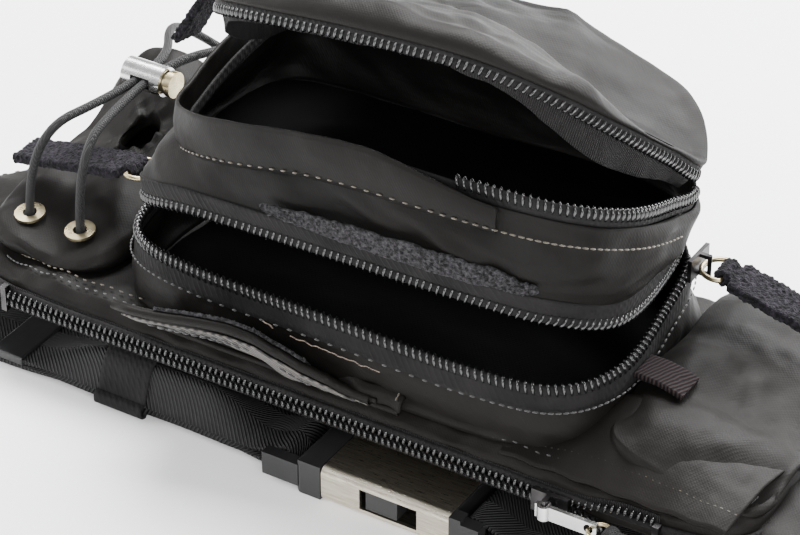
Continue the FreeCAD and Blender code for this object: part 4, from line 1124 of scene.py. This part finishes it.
# ------------------------------------------------------------------ the belt
def belt_rise(x):
    """How far the webbing cups up against the base, between the keeper and the buckle."""
    return 12.0 * smooth_step(-114, -78, x) * smooth_step(-16, -44, x)


def strap(name, nodes, route):
    """A flat strap: route lists (x, z) along it, and its width runs from y -20 to y -58."""
    gone = [0.0]
    for (x0, z0), (x1, z1) in zip(route, route[1:]):
        gone.append(gone[-1] + math.hypot(x1 - x0, z1 - z0))

    def place(u, v):
        far = u * gone[-1]
        k = 0
        while k < len(gone) - 2 and gone[k + 1] < far:
            k += 1
        t = (far - gone[k]) / (gone[k + 1] - gone[k])
        x, z = (mix(a, b, t) for a, b in zip(route[k], route[k + 1]))
        low = smooth_step(14, 8, z)
        cup = belt_rise(x) * math.sin(math.pi * v ** 2.6) * low
        wave = 0.35 * math.sin(x * 0.11) * low
        return Vector((x, -20.3 - 37.4 * v - 0.55 * cup * (1 - v) * 2 + 0.5 * math.sin(x * 0.07) * low, z + cup + wave))

    sewn(name, int(gone[-1] / 1.6), 24, place, "webbing", "bag", nodes, 1.5, 0.0)


def bend(x, z, radius, start, end):
    """Points round a turn of a strap, angles in degrees."""
    steps = 8
    angles = [math.radians(start + (end - start) * k / steps) for k in range(steps + 1)]
    return [(x + radius * math.cos(angle), z + radius * math.sin(angle)) for angle in angles]


def make_belt():
    left = [(-178, 22)] + bend(-181, 11.95, 10.05, 90, 270) + [(-150, 1.9), (-60, 1.9), (-20, 2.0)]
    left += bend(-12, 6.2, 3.3, 250, 450) + [(-17, 7.2), (-24, 4.4), (-60, 4.1), (-112, 4.1), (-121, 4.1)]
    strap("left_strap", ("left_webbing",), left)
    right = [(178, 22)] + bend(181, 11.95, 10.05, 90, -90) + [(150, 1.9), (90, 1.9), (66, 2.0)]
    right += bend(56, 6.2, 3.3, 290, 90) + [(60, 8.2), (68, 4.6), (90, 4.1), (150, 4.1)]
    strap("right_strap", ("right_webbing",), right)

    def band(u, v):
        turn = 2 * math.pi * u
        x = -82 + 18 * v
        y = -39 + 21.4 * squared(math.cos(turn), 0.35)
        across = min(1.0, max(0.0, (-20 - y) / 38))
        cup = belt_rise(x) * math.sin(math.pi * across ** 2.6)
        z = 3.0 + cup + 2.9 * squared(math.sin(turn), 0.6)
        return Vector((x, y, max(0.3, z) + 0.25 * math.sin(y * 0.9) * (z > 3)))

    sewn("belt_keeper_band", 120, 14, band, "tape", "keeper", ("belt_keeper",), 0.8, 0.0, around=True)


# ------------------------------------------------------------------ the drawcord
def make_drawcord():
    """The same route as the part's own cord: out of one eyelet, through the lock, round a loop and back."""
    route = ((-105, -33, 39.5), (-105, -33, 71), (-110.3, 3, 73), (-110.3, 30, 73), (-98, 47, 73.5), (-97, 62, 64),
             (-112, 70, 52), (-127, 62, 64), (-126, 47, 73.5), (-113.7, 30, 73), (-113.7, 3, 73), (-125, -33, 71),
             (-125, -33, 39.5))
    data = bpy.data.curves.new("drawcord_line", "CURVE")
    data.dimensions = "3D"
    spline = data.splines.new("NURBS")
    spline.points.add(len(route) - 1)
    for point, (x, y, z) in zip(spline.points, route):
        point.co = (x * MM, y * MM, z * MM, 1)
    spline.order_u = 3
    spline.use_endpoint_u = True
    spline.resolution_u = 16
    data.bevel_depth = 1.5 * MM
    data.bevel_resolution = 4
    cord = bpy.data.objects.new("drawcord_line", data)
    bpy.context.collection.objects.link(cord)
    data.materials.append(FINISH["cord"])
    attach(cord, "bag")
    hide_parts("drawcord")


# ------------------------------------------------------------------ hard parts that keep the part's own shape
HARD = {
    "dark_metal": ("left_slider", "right_slider", "upper_left_slider", "rear_slider"),
    "brass": ("left_ring", "right_ring", "upper_left_ring", "rear_pull_ring", "eyelet_right", "eyelet_left",
              "lock_plunger"),
    "steel": ("lock_barrel", "lock_spring", "rear_puller_plate"),
    "champagne": ("buckle_shell",),
    "plastic": ("buckle_male", "buckle_core", "prong_near", "prong_far", "belt_tip"),
    "cord": ("rear_cord_pull",),
}


def finish_hard_parts():
    for finish, nodes in HARD.items():
        for node in nodes:
            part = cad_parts[node]
            if not part.material_slots:
                part.data.materials.append(FINISH[finish])
            for slot in part.material_slots:
                slot.material = FINISH[finish]


make_stage()
make_lights()
make_camera()
make_drawcord()
make_lower_compartment()
make_upper_compartment()
rim_facing()
make_lid()
make_stripes_of_fuzz()
make_scratch()
make_flap()
make_base()
make_wing(-1)
make_wing(1)
make_drawcord_pocket()
make_right_pocket()
make_rear_zip()
make_pulls()
make_belt()
finish_hard_parts()
